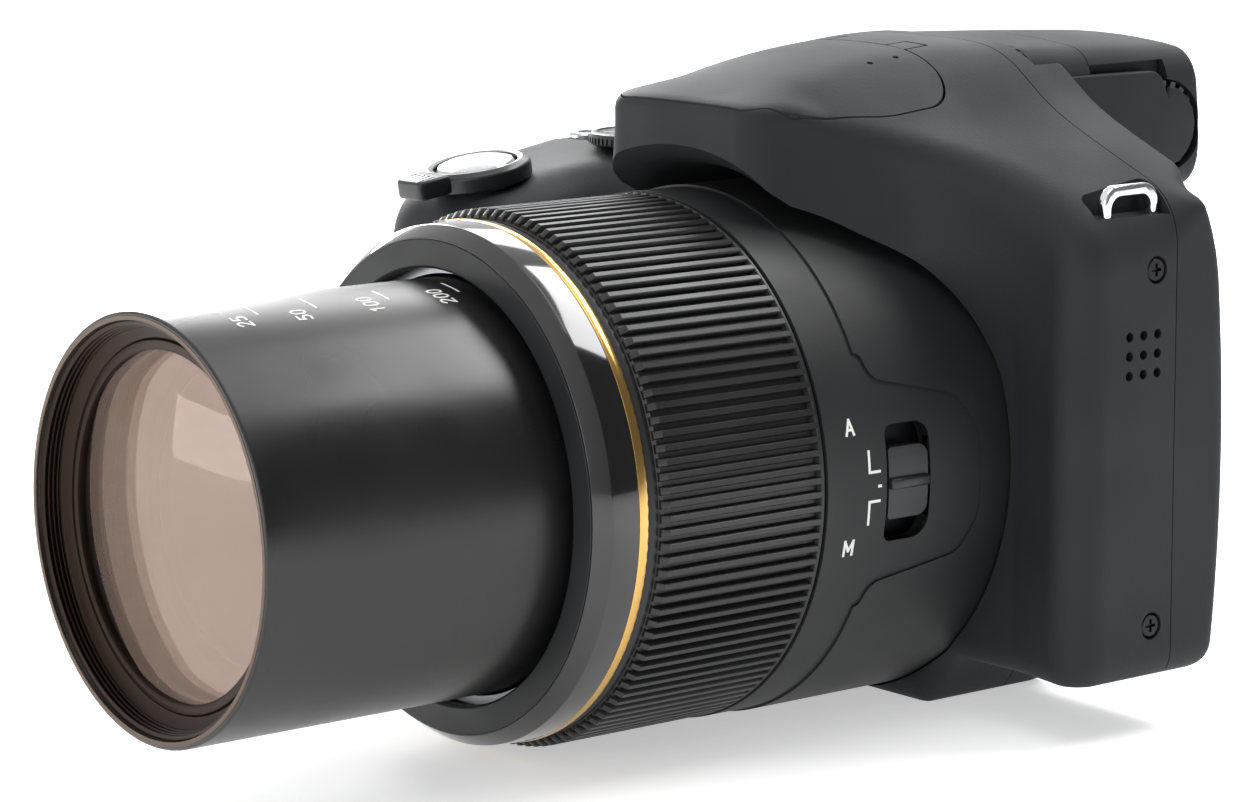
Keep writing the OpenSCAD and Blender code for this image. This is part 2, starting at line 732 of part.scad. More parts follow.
// One gear tooth outline point list about radius r, for count teeth on the full circle
function tooth(r, count, i) = let(p = 360 / count, up = r + tooth_top, down = r - tooth_root)
    [down * [cos(p * (i - 0.29)), sin(p * (i - 0.29))], up * [cos(p * (i - 0.11)), sin(p * (i - 0.11))],
    up * [cos(p * (i + 0.11)), sin(p * (i + 0.11))], down * [cos(p * (i + 0.29)), sin(p * (i + 0.29))]];

// Place of the pinion, with +Z forward along its shaft
module at_pinion() {
    translate([0, 0, lens_z]) rotate([0, -motor_angle, 0]) translate([drive_off, -gear_f, 0])
        rotate([90, 0, 0]) children();
}

// Turning tube that drives the zoom, with a gear sector at its rear end
module cam_barrel() {
    teeth = floor(ring_teeth * gear_sector / 360);
    first = gear_shift - floor(teeth / 2);
    sector = concat([[0, 0]], [for (i = [first:first + teeth - 1]) each tooth(pitch_r, ring_teeth, i)]);
    color("#55575c") difference() {
        union() {
            tube(cam_in_r, cam_out_r, gear_f + gear_t, cam_f - run_gap);
            tube(cam_in_r, pitch_r - tooth_root - 0.15, gear_f, gear_f + gear_t + cut);
            translate([0, -gear_f, lens_z]) rotate([90, 0, 0])
                linear_extrude(height = gear_t) rotate(motor_angle) polygon(sector);
        }
        tube(0, cam_in_r, gear_f - cut, cam_f + cut);
    }
}

// Moving outer tube of the zoom
module zoom_barrel() {
    back = zoom_f - zoom_len;
    color("#2c2c2e") turned([[zoom_in_r, back], [zoom_r, back], [zoom_r, zoom_f - 0.6],
        [zoom_r - 0.6, zoom_f],
        [zoom_in_r, zoom_f]]);
}

// Ridged cell that holds the front lenses
module front_cell() {
    out = zoom_in_r - seat_gap;
    stop_f = second_f - second_t - 0.4;
    color("#2a2321") turned([[glass_r - 3, stop_f], [out, stop_f], [out, zoom_f - 0.5],
        [out - 0.9, zoom_f - 0.5],
        [out - 1.4, zoom_f - 2], [glass_r - 0.6, element_f - 2.4], [glass_r - 0.6, element_f - 3.1],
        [glass_r + seat_gap, element_f - 3.1], [glass_r + seat_gap, element_f - element_t],
        [glass_r - 1, element_f - element_t], [glass_r - 1, second_f + seat_gap],
        [glass_r - 0.5, second_f + seat_gap], [glass_r - 0.5, second_f - second_t],
            [glass_r - 3, second_f - second_t]]);
}

// Outline of a lens: front and rear sag at the middle, edge thickness in between
function lens_outline(r, edge_front, edge_back, sag_front, sag_back) = concat([[0, edge_back - sag_back]],
    [for (i = [1:7]) [r * i / 8, edge_back - sag_back * (1 - pow(i / 8, 2))]], 
    [[r, edge_back], [r, edge_front]],
    [for (i = [7:-1:0]) [r * i / 8, edge_front + sag_front * (1 - pow(i / 8, 2))]]);

// Large coated front lens
module front_element() {
    color("#6b4d42", 0.5) turned(lens_outline(glass_r, element_f - 3.4 - seat_gap,
        element_f - element_t + seat_gap, 3.2, -1.2));
}

// Second lens of the front group
module second_element() {
    color("#8a6a5c", 0.5) turned(lens_outline(glass_r - 0.5 - seat_gap, second_f - 0.4,
        second_f - second_t + seat_gap, 0.6, -0.8));
}

// Lens cell that slides on the two guide rods
module rod_cell(front, thick, lens_r) {
    difference() {
        tube(lens_r, cell_r, front - thick, front);
        for (s = [-1, 1]) translate([s * rod_off, -front + thick + cut, lens_z]) rotate([90, 0, 0])
            cylinder(r = rod_r + shaft_gap, h = thick + 2 * cut);
    }
}
zoom_lens_r = zoom_in_r * 0.48;
focus_lens_r = zoom_in_r * 0.44;
module zoom_cell() {
    color("#38393c") rod_cell(zoom_cell_f, zoom_cell_t, zoom_lens_r + seat_gap);
}
module zoom_lens() {
    color("#7f9a94", 0.5) turned(lens_outline(zoom_lens_r, zoom_cell_f - 0.5,
        zoom_cell_f - zoom_cell_t + 0.5, 0.4, 0.4));
}
module focus_cell() {
    color("#404145") rod_cell(focus_cell_f, focus_cell_t, focus_lens_r + seat_gap);
}
module focus_lens() {
    color("#7f8f9a", 0.5) turned(lens_outline(focus_lens_r, focus_cell_f - 0.5,
        focus_cell_f - focus_cell_t + 0.5, 0.4, 0.4));
}

// Two steel rods that carry the inner lens cells
module guide_rods() {
    color("#b9bbbf") for (s = [-1, 1]) translate([s * rod_off, -base_f, lens_z]) rotate([90, 0, 0])
        cylinder(r = rod_r, h = rod_f - base_f);
}

// Plate at the back of the lens, open for the light
module lens_base() {
    color("#4a4b4f") difference() {
        tube(focus_lens_r - 1, barrel_r - barrel_wall - seat_gap, base_f - base_t, base_f);
        translate([0, 0, lens_z]) rotate([0, -motor_angle, 0])
            translate([drive_off, cut, 0]) rotate([90, 0, 0])
            cylinder(r = rod_r + shaft_gap, h = base_f + 2 * cut);
    }
}

// Sensor and its board behind the lens base
sensor_t = 1.8;
sensor_board_t = 1.6;
module image_sensor() {
    y0 = base_t - base_f;
    w = focus_lens_r;
    color("#4b5a5f") box([-w, y0, lens_z - 0.8 * w], [w, y0 + sensor_t, lens_z + 0.8 * w]);
}
module sensor_board() {
    y0 = base_t - base_f + sensor_t;
    w = focus_lens_r + 4;
    color("#2f5f3c") box([-w, y0, lens_z - w], [w, y0 + sensor_board_t, lens_z + w]);
}

// Motor that turns the cam barrel
module zoom_motor() {
    color("#9a9ca1") translate([0, 0, lens_z]) rotate([0, -motor_angle, 0])
        translate([drive_off, base_t - base_f + motor_r * 2.2, 0]) rotate([90, 0, 0])
            cylinder(r = motor_r, h = motor_r * 2.2);
}
module motor_pinion() {
    teeth = [for (i = [0:pinion_teeth - 1]) each tooth(pinion_pitch_r, pinion_teeth, i)];
    color("#d9d2bf") at_pinion() {
        linear_extrude(height = gear_t - run_gap) rotate(180 + 180 / pinion_teeth) polygon(teeth);
        translate([0, 0, base_f - base_t + run_gap - gear_f])
            cylinder(r = rod_r, h = gear_f - base_f + base_t);
    }
}

// Main circuit board behind the lens
board_t = 1.4;
module main_board() {
    color("#2e6b43") box([2 - grip_inner_x, seam_y + 0.6, wing_z + wall + 2],
        [wing_x - wall - 2, seam_y + 0.6 + board_t, bay_top_z - 2]);
}

// Rechargeable pack in the grip
module battery() {
    x0 = socket_x + socket_l + 0.4;
    y0 = -bay_y + 1.8;
    color("#3d4046") box([x0, y0, wall + fit_gap],
        [x0 + battery_w, y0 + battery_d, bay_top_z - battery_room]);
}

// Card beside the battery
card_t = 2.1;
card_w = 24;
card_room = 23.7;
module memory_card() {
    x0 = -bay_x - 1 - card_t;
    color("#2a4a7a") box([x0, -bay_y + 2, wall + fit_gap],
        [x0 + card_t, -bay_y + 2 + card_w, bay_top_z - card_room]);
}

// Hinged door under the battery
module battery_door() {
    color("#232427") {
        box([door_x0, door_y0, 0], [door_x1, door_y1, door_t]);
        translate([door_x1, door_y1, door_hinge_z]) rotate([90, 0, 0])
            cylinder(r = hinge_r, h = door_y1 - door_y0);
    }
}

// Cover over the sockets, hinged along its lower edge
module port_door() {
    color("#232427") {
        box([-grip_x, port_y0, port_z0 + hinge_r], [-grip_x + port_t, port_y1, port_z1]);
        translate([-grip_x + port_t / 2, port_y1, port_z0 + hinge_r]) rotate([90, 0, 0])
            cylinder(r = hinge_r, h = port_y1 - port_y0);
    }
}

// Two sockets behind the port door
module port_sockets() {
    middle = (port_z0 + port_z1) / 2;
    color("#a7a9ad") {
        box([socket_x, port_y0 + 1.7, port_z0 + 3.3], [socket_x + socket_l, port_y1 - 1.7, middle - 1.2]);
        box([socket_x, port_y0 + 1.7, middle + 1.2], [socket_x + socket_l, port_y1 - 1.7, port_z1 - 3.3]);
    }
}

// Speaker behind its grille
module speaker() {
    color("#17181a") translate([wing_x - wall - speaker_t, grille_y, grille_z]) rotate([0, 90, 0])
        cylinder(r = speaker_r, h = speaker_t);
}

// Chrome loop for the neck strap, in the YZ plane
module lug(x, z) {
    translate([x - lug_t / 2, lug_y, z]) rotate([90, 0, 90]) linear_extrude(height = lug_t) difference() {
        polygon(concat([[lug_l / 2, 0]], arc([lug_l / 2 - 2, lug_h - 2], 2, 0, 90, 6),
            arc([2 - lug_l / 2, lug_h - 2], 2, 90, 180, 6), [[-lug_l / 2, 0]]));
        translate([0, lug_h / 2]) polygon(round_rect(lug_l - 2 * lug_bar, lug_h - 2 * lug_bar, 0.8));
    }
}
module strap_lug_left() {
    color("#d8d9dc") lug(lug_left_x, lug_left_z);
}
module strap_lug_right() {
    color("#d8d9dc") lug(-lug_right_x, lug_right_z);
}

// Side and base screws
module case_screws() {
    color("#4c4d50") {
        at_side_screws() screw();
        at_base_screws() screw();
    }
}

// Pop-up lid on the front of the roof
module flash_lid() {
    color("#2b2c2f") difference() {
        union() {
            intersection() {
                linear_extrude(height = hump_z + cut) polygon(lid_outline(0));
                roof_form();
                box([-far, -far, lid_z], [far, far, far]);
            }
            translate([-knuckle_l / 2, pin_y, pin_z]) rotate([0, 90, 0])
                cylinder(r = knuckle_r, h = knuckle_l);
        }
        translate([-far / 2, pin_y, pin_z]) rotate([0, 90, 0]) cylinder(r = pin_r + shaft_gap, h = far);
        box([-far, pin_y, -cut], [far, far, pin_z - knuckle_r]);
    }
}
tube_r = 1.1;
tube_l = lid_w + 0.7;
flash_y = 3 - lid_front;
module flash_window() {
    color("#d5d9dd", 0.6) box([-tube_l / 2, flash_y, flash_floor_z + 0.6],
        [tube_l / 2, flash_y + 1.2, lid_z]);
}
module flash_tube() {
    color("#e8e4d4", 0.7) translate([-tube_l / 2, flash_y + 2 * tube_r + 1.2, lid_z - tube_r - 0.1])
        rotate([0, 90, 0]) cylinder(r = tube_r, h = tube_l);
}
module flash_pin() {
    color("#a9abaf") translate([-pin_l / 2, pin_y, pin_z]) rotate([0, 90, 0])
        cylinder(r = pin_r, h = pin_l);
}

// Body of the eye-level finder, with the pod over the dioptre wheel
module finder_housing() {
    pod_r = wheel_r - 1;
    top = cap_z - fit_gap;
    color("#2a2b2e") difference() {
        union() {
            box([-finder_in_w, rear_y, finder_z], [finder_in_w, flange_y - seat_gap, top]);
            intersection() {
                union() {
                    box([0, rear_y, wheel_z - pod_r], [finder_w, wheel_y, wheel_z + pod_r]);
                    translate([0, wheel_y, wheel_z]) rotate([0, 90, 0]) cylinder(r = pod_r, h = finder_w);
                }
                box([0, rear_y, 0], [far, flange_y - seat_gap, far]);
            }
        }
        box([-finder_in_w + wall, 0, finder_z + wall], [finder_in_w - wall, flange_y - wall, top - wall]);
        box([-eye_w / 2, 0, eye_z - eye_h / 2], [eye_w / 2, far, eye_z + eye_h / 2]);
        translate([wheel_x - fit_gap, wheel_y, wheel_z]) rotate([0, 90, 0])
            cylinder(r = wheel_r + fit_gap, h = wheel_t + 2 * fit_gap);
        translate([0, wheel_y, wheel_z]) rotate([0, 90, 0]) cylinder(r = rod_r + shaft_gap, h = wheel_x);
    }
}

// Top of the finder with its rear flange
module finder_cap() {
    middle_z = (finder_z + 1 + hump_z) / 2;
    color("#2d2e31") difference() {
        union() {
            intersection() {
                along_y([for (p = round_rect(2 * finder_w, 2 * cap_t, 3)) p + [0, hump_z - cap_t]],
                    cap_y, flange_y + cut);
                box([-far, -far, cap_z], [far, far, far]);
            }
            along_y([for (p = round_rect(2 * finder_w, hump_z - finder_z - 1, 3)) p + [0, middle_z]],
                flange_y, finder_y);
        }
        box([-eye_w / 2, 0, eye_z - eye_h / 2], [eye_w / 2, far, eye_z + eye_h / 2]);
        translate([finder_in_w, wheel_y, wheel_z]) rotate([0, 90, 0])
            cylinder(r = wheel_r + fit_gap, h = far);
        translate([eye_w / 2, wheel_y, wheel_z]) rotate([0, 90, 0])
            cylinder(r = rod_r + shaft_gap, h = far);
    }
}

// Frame that holds the eyepiece lens in the flange
eye_lens_r = 4.6;
module eyepiece_frame() {
    g = seat_gap;
    color("#161719") difference() {
        box([g - eye_w / 2, flange_y, eye_z - eye_h / 2 + g],
            [eye_w / 2 - g, finder_y - 0.8, eye_z + eye_h / 2 - g]);
        rear_rod([0, eye_z], eye_lens_r + g, 0, finder_y - 2);
        rear_rod([0, eye_z], eye_lens_r - 0.6, 0, far);
    }
}
module eyepiece_lens() {
    color("#9fb4c0", 0.4) rear_rod([0, eye_z], eye_lens_r, finder_y - 5, finder_y - 2);
}

// Small screen at the front end of the finder
module finder_display() {
    w = finder_in_w - wall - fit_gap;
    color("#1b2530") box([-w, rear_y + 1, eye_z - 6], [w, rear_y + 4, eye_z + 6]);
}

// Toothed wheel that sets the eyepiece
wheel_teeth = 30;
module dioptre_wheel() {
    p = 360 / wheel_teeth;
    teeth = [for (i = [0:wheel_teeth - 1]) each [(wheel_r - 0.7) * [cos(p * (i - 0.3)), sin(p * (i - 0.3))],
        wheel_r * [cos(p * (i - 0.2)), sin(p * (i - 0.2))],
        wheel_r * [cos(p * (i + 0.2)), sin(p * (i + 0.2))],
        (wheel_r - 0.7) * [cos(p * (i + 0.3)), sin(p * (i + 0.3))]]];
    color("#1a1b1d") translate([wheel_x, wheel_y, wheel_z]) rotate([0, 90, 0]) {
        linear_extrude(height = wheel_t) polygon(teeth);
        translate([0, 0, -2.2]) cylinder(r = rod_r, h = 2.2 + wheel_t / 2);
    }
}

// Rear screen: module and window
window_t = 1.4;
module screen_panel() {
    inset = 0.6;
    color("#20262c") box(
        [screen_x - screen_w / 2 + inset, seam_y + 0.6 + board_t + fit_gap, lens_z - screen_h / 2 + inset],
        [screen_x + screen_w / 2 - inset, rear_y - window_t - fit_gap, lens_z + screen_h / 2 - inset]);
}
module screen_window() {
    color("#0c0d0f", 0.8) box([screen_x - screen_w / 2, rear_y - window_t, lens_z - screen_h / 2],
        [screen_x + screen_w / 2, rear_y, lens_z + screen_h / 2]);
}

// Shutter button in the middle of the zoom lever
module shutter_button() {
    dome_r = 22;
    cap_low = shutter_travel + fit_gap;
    cap_high = lever_h + 0.4;
    color("#c9cbce") at_shutter() {
        intersection() {
            translate([0, 0, cap_low]) cylinder(r = shutter_r, h = cap_high - cap_low + cut);
            translate([0, 0, cap_high + 0.7 - dome_r]) sphere(r = dome_r, $fn = 96);
        }
        translate([0, 0, shutter_travel - stem_l]) cylinder(r = stem_r, h = stem_l + 2 * fit_gap);
    }
}

// Ring with a finger tab that drives the zoom
module zoom_lever() {
    color("#1b1c1e") at_shutter() difference() {
        union() {
            translate([0, 0, fit_gap]) cylinder(r = lever_out_r, h = lever_h - fit_gap);
            translate([-tab_w / 2, -lever_out_r - tab_l, fit_gap + 0.3])
                cube([tab_w, tab_l + lever_w, lever_h - fit_gap]);
        }
        translate([0, 0, -cut]) cylinder(r = lever_in_r, h = far);
    }
}

// Knurled dial on the plate
module mode_dial() {
    knurl = 40;
    p = 360 / knurl;
    rim = [for (i = [0:knurl - 1]) each [dial_r * [cos(i * p), sin(i * p)],
        (dial_r - 0.4) * [cos((i + 0.5) * p), sin((i + 0.5) * p)]]];
    color("#1e1f22") translate([-dial_x, dial_y, plate_z]) {
        translate([0, 0, fit_gap]) linear_extrude(height = dial_h - fit_gap) polygon(rim);
        translate([0, 0, -stem_l]) cylinder(r = stem_r, h = stem_l + cut);
    }
}

// Round push key
module power_button() {
    color("#c4c6c9") translate([power_p[0], power_p[1], plate_z - stem_l + key_travel])
        cylinder(r = key_r, h = stem_l + key_out - key_travel);
}
module rear_key(place) {
    color("#2f3034") rear_rod(place, key_r, rear_y + key_out - key_l, rear_y + key_out);
}
module video_button() {
    color("#8e2a2a") rear_rod(video_p, key_r, rear_y + key_out - key_l, rear_y + key_out);
}
module flash_button() {
    rear_key(flash_p);
}
module menu_button() {
    rear_key(menu_p);
}
module play_button() {
    rear_key(play_p);
}
module display_button() {
    rear_key(display_p);
}

// Four-way ring with the confirm button in its middle
module four_way_ring() {
    color("#2f3034") difference() {
        rear_rod(pad_p, pad_r, rear_y + key_out - key_l, rear_y + key_out);
        rear_rod(pad_p, ok_r + fit_gap, 0, far);
    }
}
module confirm_button() {
    color("#38393d") rear_rod(pad_p, ok_r, rear_y + key_out - key_l, rear_y + key_out);
}

front_shell();
rear_shell();
base_plate();
tripod_socket();
grip_rubber();
fixed_barrel();
switch_panel();
focus_switch();
nose_ring();
gold_ring();
control_ring();
guide_barrel();
cam_barrel();
zoom_barrel();
front_cell();
front_element();
second_element();
zoom_cell();
zoom_lens();
focus_cell();
focus_lens();
guide_rods();
lens_base();
image_sensor();
sensor_board();
zoom_motor();
motor_pinion();
main_board();
battery();
battery_door();
memory_card();
port_door();
port_sockets();
speaker();
strap_lug_left();
strap_lug_right();
case_screws();
flash_lid();
flash_window();
flash_tube();
flash_pin();
finder_housing();
finder_cap();
eyepiece_frame();
eyepiece_lens();
finder_display();
dioptre_wheel();
screen_panel();
screen_window();
shutter_button();
zoom_lever();
mode_dial();
power_button();
video_button();
flash_button();
menu_button();
play_button();
display_button();
four_way_ring();
confirm_button();
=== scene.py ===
"""Looks of a bridge camera with a long zoom lens: moulded shells, lens rings, coated glass and controls.

Sizes are in millimetres in the part's own frame: +Z up, the lens looks along -Y, +X is the camera's left.
Meshes are written in metres with each object at the origin.
"""

from __future__ import annotations

import json
import logging
import math
from dataclasses import dataclass, field
from enum import Enum
from typing import Callable, Sequence

import bmesh
import bpy
import numpy as np
from mathutils import Matrix, Vector

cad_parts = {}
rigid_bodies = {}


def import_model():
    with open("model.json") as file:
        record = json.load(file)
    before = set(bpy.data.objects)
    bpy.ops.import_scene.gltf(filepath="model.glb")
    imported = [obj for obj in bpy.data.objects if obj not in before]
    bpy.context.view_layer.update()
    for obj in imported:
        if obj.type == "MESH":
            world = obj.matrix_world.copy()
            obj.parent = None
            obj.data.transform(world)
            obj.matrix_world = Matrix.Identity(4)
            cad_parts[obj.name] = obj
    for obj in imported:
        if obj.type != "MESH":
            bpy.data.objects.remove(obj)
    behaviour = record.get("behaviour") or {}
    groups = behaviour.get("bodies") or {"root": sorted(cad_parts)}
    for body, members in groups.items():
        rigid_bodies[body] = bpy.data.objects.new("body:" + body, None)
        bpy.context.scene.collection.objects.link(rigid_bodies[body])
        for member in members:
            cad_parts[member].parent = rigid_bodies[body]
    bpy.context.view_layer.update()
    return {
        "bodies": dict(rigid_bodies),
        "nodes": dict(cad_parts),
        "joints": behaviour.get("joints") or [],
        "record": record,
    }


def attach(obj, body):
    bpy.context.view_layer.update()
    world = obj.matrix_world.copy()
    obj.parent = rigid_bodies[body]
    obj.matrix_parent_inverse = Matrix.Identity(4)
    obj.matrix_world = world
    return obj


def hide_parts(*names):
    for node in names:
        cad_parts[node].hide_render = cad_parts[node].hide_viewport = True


log = logging.getLogger("bridge_camera")

MM = 0.001
LENS_Z = 35.0
HOLE_R = 35.2
SEAM_Y = 9.0
REAR_Y = 17.6
PLATE_Z = 68.5
GRIP_TILT = math.radians(10)
KEY_R = 2.8
KEY_OUT = 0.9
KEY_PLACES = {
    "video": (-31.0, 59.0), "flash_key": (-42.2, 59.0), "menu": (-32.0, 45.0),
    "play": (-34.0, 15.0), "display": (-60.0, 15.0),
}
PAD_R = 8.5
PAD_PLACE = (-48.0, 31.0)
DIAL_PLACE = (-52.0, 4.0)
POWER_PLACE = (-67.0, 4.0)
SCREEN_PLACE = (12.5, 35.0)
LID_PIN = (-0.3, 85.133)
SIDE_SCREW = (5.4, 14.6)
SIDE_SCREW_RISE = 46.2
BASE_SCREW = (-32.0, -1.0)
BASE_SCREW_STEP = (45.0, 5.5)
SHARP = math.radians(32)
INK_LEVELS = ((-0.06, -1), (-0.06, 1), (0.03, 1), (0.03, -1))
ROUND_STEPS = 256

Point2 = tuple[float, float]
Point3 = tuple[float, float, float]


class Axis(Enum):
    """Direction along which an outline is carried; the value is the axis index."""

    X = 0
    Y = 1
    Z = 2


class Cut(Enum):
    """How a second solid acts on a first one."""

    TAKE = "DIFFERENCE"
    KEEP = "INTERSECT"
    JOIN = "UNION"


def linear(code: str) -> tuple[float, float, float, float]:
    """Turns an sRGB hex colour to linear light.

    Args:
        code: Colour as #rrggbb.

    Returns:
        Linear red, green and blue, and a full fourth channel.
    """
    parts = [int(code[i:i + 2], 16) / 255 for i in (1, 3, 5)]
    lit = [c / 12.92 if c <= 0.04045 else ((c + 0.055) / 1.055) ** 2.4 for c in parts]
    return lit[0], lit[1], lit[2], 1.0


def add_node(tree: bpy.types.NodeTree, kind: str, links: dict | None = None, **settings) -> bpy.types.Node:
    """Adds one node with its settings and incoming links.

    Args:
        tree: Node tree that gets the node.
        kind: Type of the node.
        links: Input name or index to an output socket, or to a plain value.
        settings: Properties of the node itself.

    Returns:
        The new node.
    """
    node = tree.nodes.new(kind)
    for key, value in settings.items():
        setattr(node, key, value)
    for key, value in (links or {}).items():
        if isinstance(value, bpy.types.NodeSocket):
            tree.links.new(value, node.inputs[key])
        else:
            node.inputs[key].default_value = value
    return node


def bare_tree(owner: bpy.types.Material | bpy.types.World) -> bpy.types.NodeTree:
    """Returns the emptied node tree of a material or a world.

    Args:
        owner: Material or world that gets a tree of its own.

    Returns:
        The tree, without nodes.
    """
    owner.use_nodes = True
    owner.node_tree.nodes.clear()
    return owner.node_tree


@dataclass(frozen=True)
class Surface:
    """What a piece shows to the eye; each kind of surface gives its own shader."""

    name: str

    def material(self) -> bpy.types.Material:
        """Returns this surface as a material, made once.

        Returns:
            The material of this name.
        """
        found = bpy.data.materials.get(self.name)
        if found:
            return found
        made = bpy.data.materials.new(self.name)
        tree = bare_tree(made)
        add_node(tree, "ShaderNodeOutputMaterial", {"Surface": self.shader(tree).outputs[0]})
        return made

    def shader(self, tree: bpy.types.NodeTree) -> bpy.types.Node:
        """Builds the nodes of this kind of surface."""
        raise NotImplementedError

    @staticmethod
    def dusty(tree: bpy.types.NodeTree, speck_mm: float, low: float, high: float) -> bpy.types.NodeSocket:
        """Roughness of polished glass under a trace of dust.

        Args:
            tree: Node tree of the material.
            speck_mm: Size of the dusty patches in millimetres.
            low: Roughness where the glass is clean.
            high: Roughness where it is dusty.

        Returns:
            The socket that gives the roughness.
        """
        place = add_node(tree, "ShaderNodeTexCoord").outputs["Object"]
        dust = add_node(tree, "ShaderNodeTexNoise",
                        {"Vector": place, "Scale": 1 / (speck_mm * MM), "Detail": 4.0})
        return add_node(tree, "ShaderNodeMapRange", {
            "Value": dust.outputs["Fac"], "From Min": 0.4, "From Max": 0.8,
            "To Min": low, "To Max": high}).outputs[0]


@dataclass(frozen=True)
class Finish(Surface):
    """A moulded, turned or ground surface: one base colour with fine grain in colour, gloss and relief."""

    colour: str
    roughness: float = 0.45
    metallic: float = 0.0
    ior: float = 1.5
    grain_mm: float = 0.4
    grain_depth_mm: float = 0.02
    mottle: float = 0.12
    patch_mm: float = 18.0
    gloss_spread: float = 0.06
    coat: float = 0.0
    sheen: float = 0.0
    stretch: Point3 = (1.0, 1.0, 1.0)
    cells: bool = False

    def shader(self, tree: bpy.types.NodeTree) -> bpy.types.Node:
        """Builds grain in colour, gloss and relief.

        Args:
            tree: Node tree of the material.

        Returns:
            The shader's node.
        """
        place = add_node(tree, "ShaderNodeTexCoord").outputs["Object"]
        turned = add_node(tree, "ShaderNodeMapping", {"Vector": place, "Scale": self.stretch})
        scale = 1 / (self.grain_mm * MM)
        if self.cells:
            grain = add_node(tree, "ShaderNodeTexVoronoi", {"Vector": turned.outputs[0], "Scale": scale},
                             feature="SMOOTH_F1").outputs["Distance"]
        else:
            grain = add_node(tree, "ShaderNodeTexNoise",
                             {"Vector": turned.outputs[0], "Scale": scale, "Detail": 3.0}).outputs["Fac"]
        broad = add_node(tree, "ShaderNodeTexNoise",
                         {"Vector": place, "Scale": 1 / (self.patch_mm * MM), "Detail": 2.0}).outputs["Fac"]
        colour = linear(self.colour)
        low = tuple(c * (1 - self.mottle) for c in colour[:3]) + (1.0,)
        high = tuple(min(1.0, c * (1 + self.mottle)) for c in colour[:3]) + (1.0,)
        blend = add_node(tree, "ShaderNodeMath", {0: grain, 1: broad, 2: broad}, operation="MULTIPLY_ADD")
        shade = add_node(tree, "ShaderNodeMapRange", {
            "Value": blend.outputs[0], "From Min": 0.5, "From Max": 1.2})
        base = add_node(tree, "ShaderNodeMix", {"Factor": shade.outputs[0], 6: low, 7: high},
                        data_type="RGBA")
        rough = add_node(tree, "ShaderNodeMapRange", {
            "Value": broad, "From Min": 0.3, "From Max": 0.7,
            "To Min": max(0.02, self.roughness - self.gloss_spread),
            "To Max": self.roughness + self.gloss_spread})
        bump = add_node(tree, "ShaderNodeBump", {
            "Height": grain, "Distance": self.grain_depth_mm * MM, "Strength": 1.0})
        return add_node(tree, "ShaderNodeBsdfPrincipled", {
            "Base Color": base.outputs[2], "Roughness": rough.outputs[0], "Normal": bump.outputs[0],
            "Metallic": self.metallic, "IOR": self.ior, "Coat Weight": self.coat,
            "Sheen Weight": self.sheen})


@dataclass(frozen=True)
class Glass(Surface):
    """A polished lens or window: clear inside, with a tinted reflection and a trace of dust."""

    body: str
    tint: str
    ior: float = 1.5
    clear: float = 1.0
    coat: float = 0.0
    coat_ior: float = 1.5
    roughness: float = 0.02

    def shader(self, tree: bpy.types.NodeTree) -> bpy.types.Node:
        """Builds clear glass.

        Args:
            tree: Node tree of the material.

        Returns:
            The shader's node.
        """
        rough = self.dusty(tree, 4.0, self.roughness * 0.5, self.roughness * 1.5)
        return add_node(tree, "ShaderNodeBsdfPrincipled", {
            "Base Color": linear(self.body), "Roughness": rough, "IOR": self.ior,
            "Specular IOR Level": 1.0, "Specular Tint": linear(self.tint),
            "Transmission Weight": self.clear, "Coat Weight": self.coat, "Coat IOR": self.coat_ior,
            "Coat Roughness": 0.02})


@dataclass(frozen=True)
class Coating(Surface):
    """One polished face under a thin film: mirrors a tinted share of the light and lets the rest through."""

    tint: str
    share: float

    def shader(self, tree: bpy.types.NodeTree) -> bpy.types.Node:
        """Builds a tinted mirror that covers only its share.

        Args:
            tree: Node tree of the material.

        Returns:
            The shader's node.
        """
        return add_node(tree, "ShaderNodeBsdfPrincipled", {
            "Base Color": linear(self.tint), "Metallic": 1.0,
            "Roughness": self.dusty(tree, 5.0, 0.02, 0.05), "Alpha": self.share})


# Spark-eroded ABS: a fine even grain that breaks up the highlights on the shells
# Its faint blue cast is a painted sheen: the near-black plastic is tinted to stand for bluish reflections on
# the shells
SHELL_ABS = Finish("spark_textured_abs", "#15171c", roughness=0.68, ior=1.44, grain_mm=0.42,
                   grain_depth_mm=0.03)
# Moulded polycarbonate of the fixed barrel: smoother than the shells, with a longer highlight
BARREL_PC = Finish("satin_polycarbonate", "#17181a", roughness=0.55, grain_mm=0.3, grain_depth_mm=0.012)
# Painted aluminium tube: an even satin film that shows one broad soft highlight along its length
PAINTED_TUBE = Finish("satin_painted_aluminium", "#151515", roughness=0.3, grain_mm=0.22,
                      grain_depth_mm=0.006)
# Thermoplastic rubber of the grip: leathery cells, almost no gloss
GRIP_RUBBER = Finish("leather_grained_rubber", "#131314", roughness=0.72, grain_mm=1.1, grain_depth_mm=0.12,
                     cells=True)
# Ribbed polycarbonate ring: satin crests that read as thin light lines
RIB_PC = Finish("ribbed_polycarbonate", "#1a1a1b", roughness=0.4, grain_mm=0.3, grain_depth_mm=0.01)
# Lacquered aluminium of the nose ring: piano black, mirror-like on its chamfer
NOSE_LACQUER = Finish("piano_black_lacquer", "#070708", roughness=0.09, grain_mm=3.0, grain_depth_mm=0.0,
                      gloss_spread=0.02, coat=0.6)
# Gold anodised aluminium: a thin bright line round the nose
GOLD_ANODISED = Finish("gold_anodised_aluminium", "#cfa864", roughness=0.2, metallic=1.0, grain_mm=0.25,
                       grain_depth_mm=0.004, gloss_spread=0.04)
# Black anodised aluminium inside the front rim: warm brown black, dull
CELL_ANODISED = Finish("brown_black_anodised_aluminium", "#312824", roughness=0.42, metallic=1.0,
                       grain_mm=0.3, grain_depth_mm=0.008)
# The same on the rim itself, in a paler brown
RIM_ANODISED = Finish("pale_brown_anodised_aluminium", "#574b43", roughness=0.4, metallic=1.0, grain_mm=0.3,
                      grain_depth_mm=0.008)
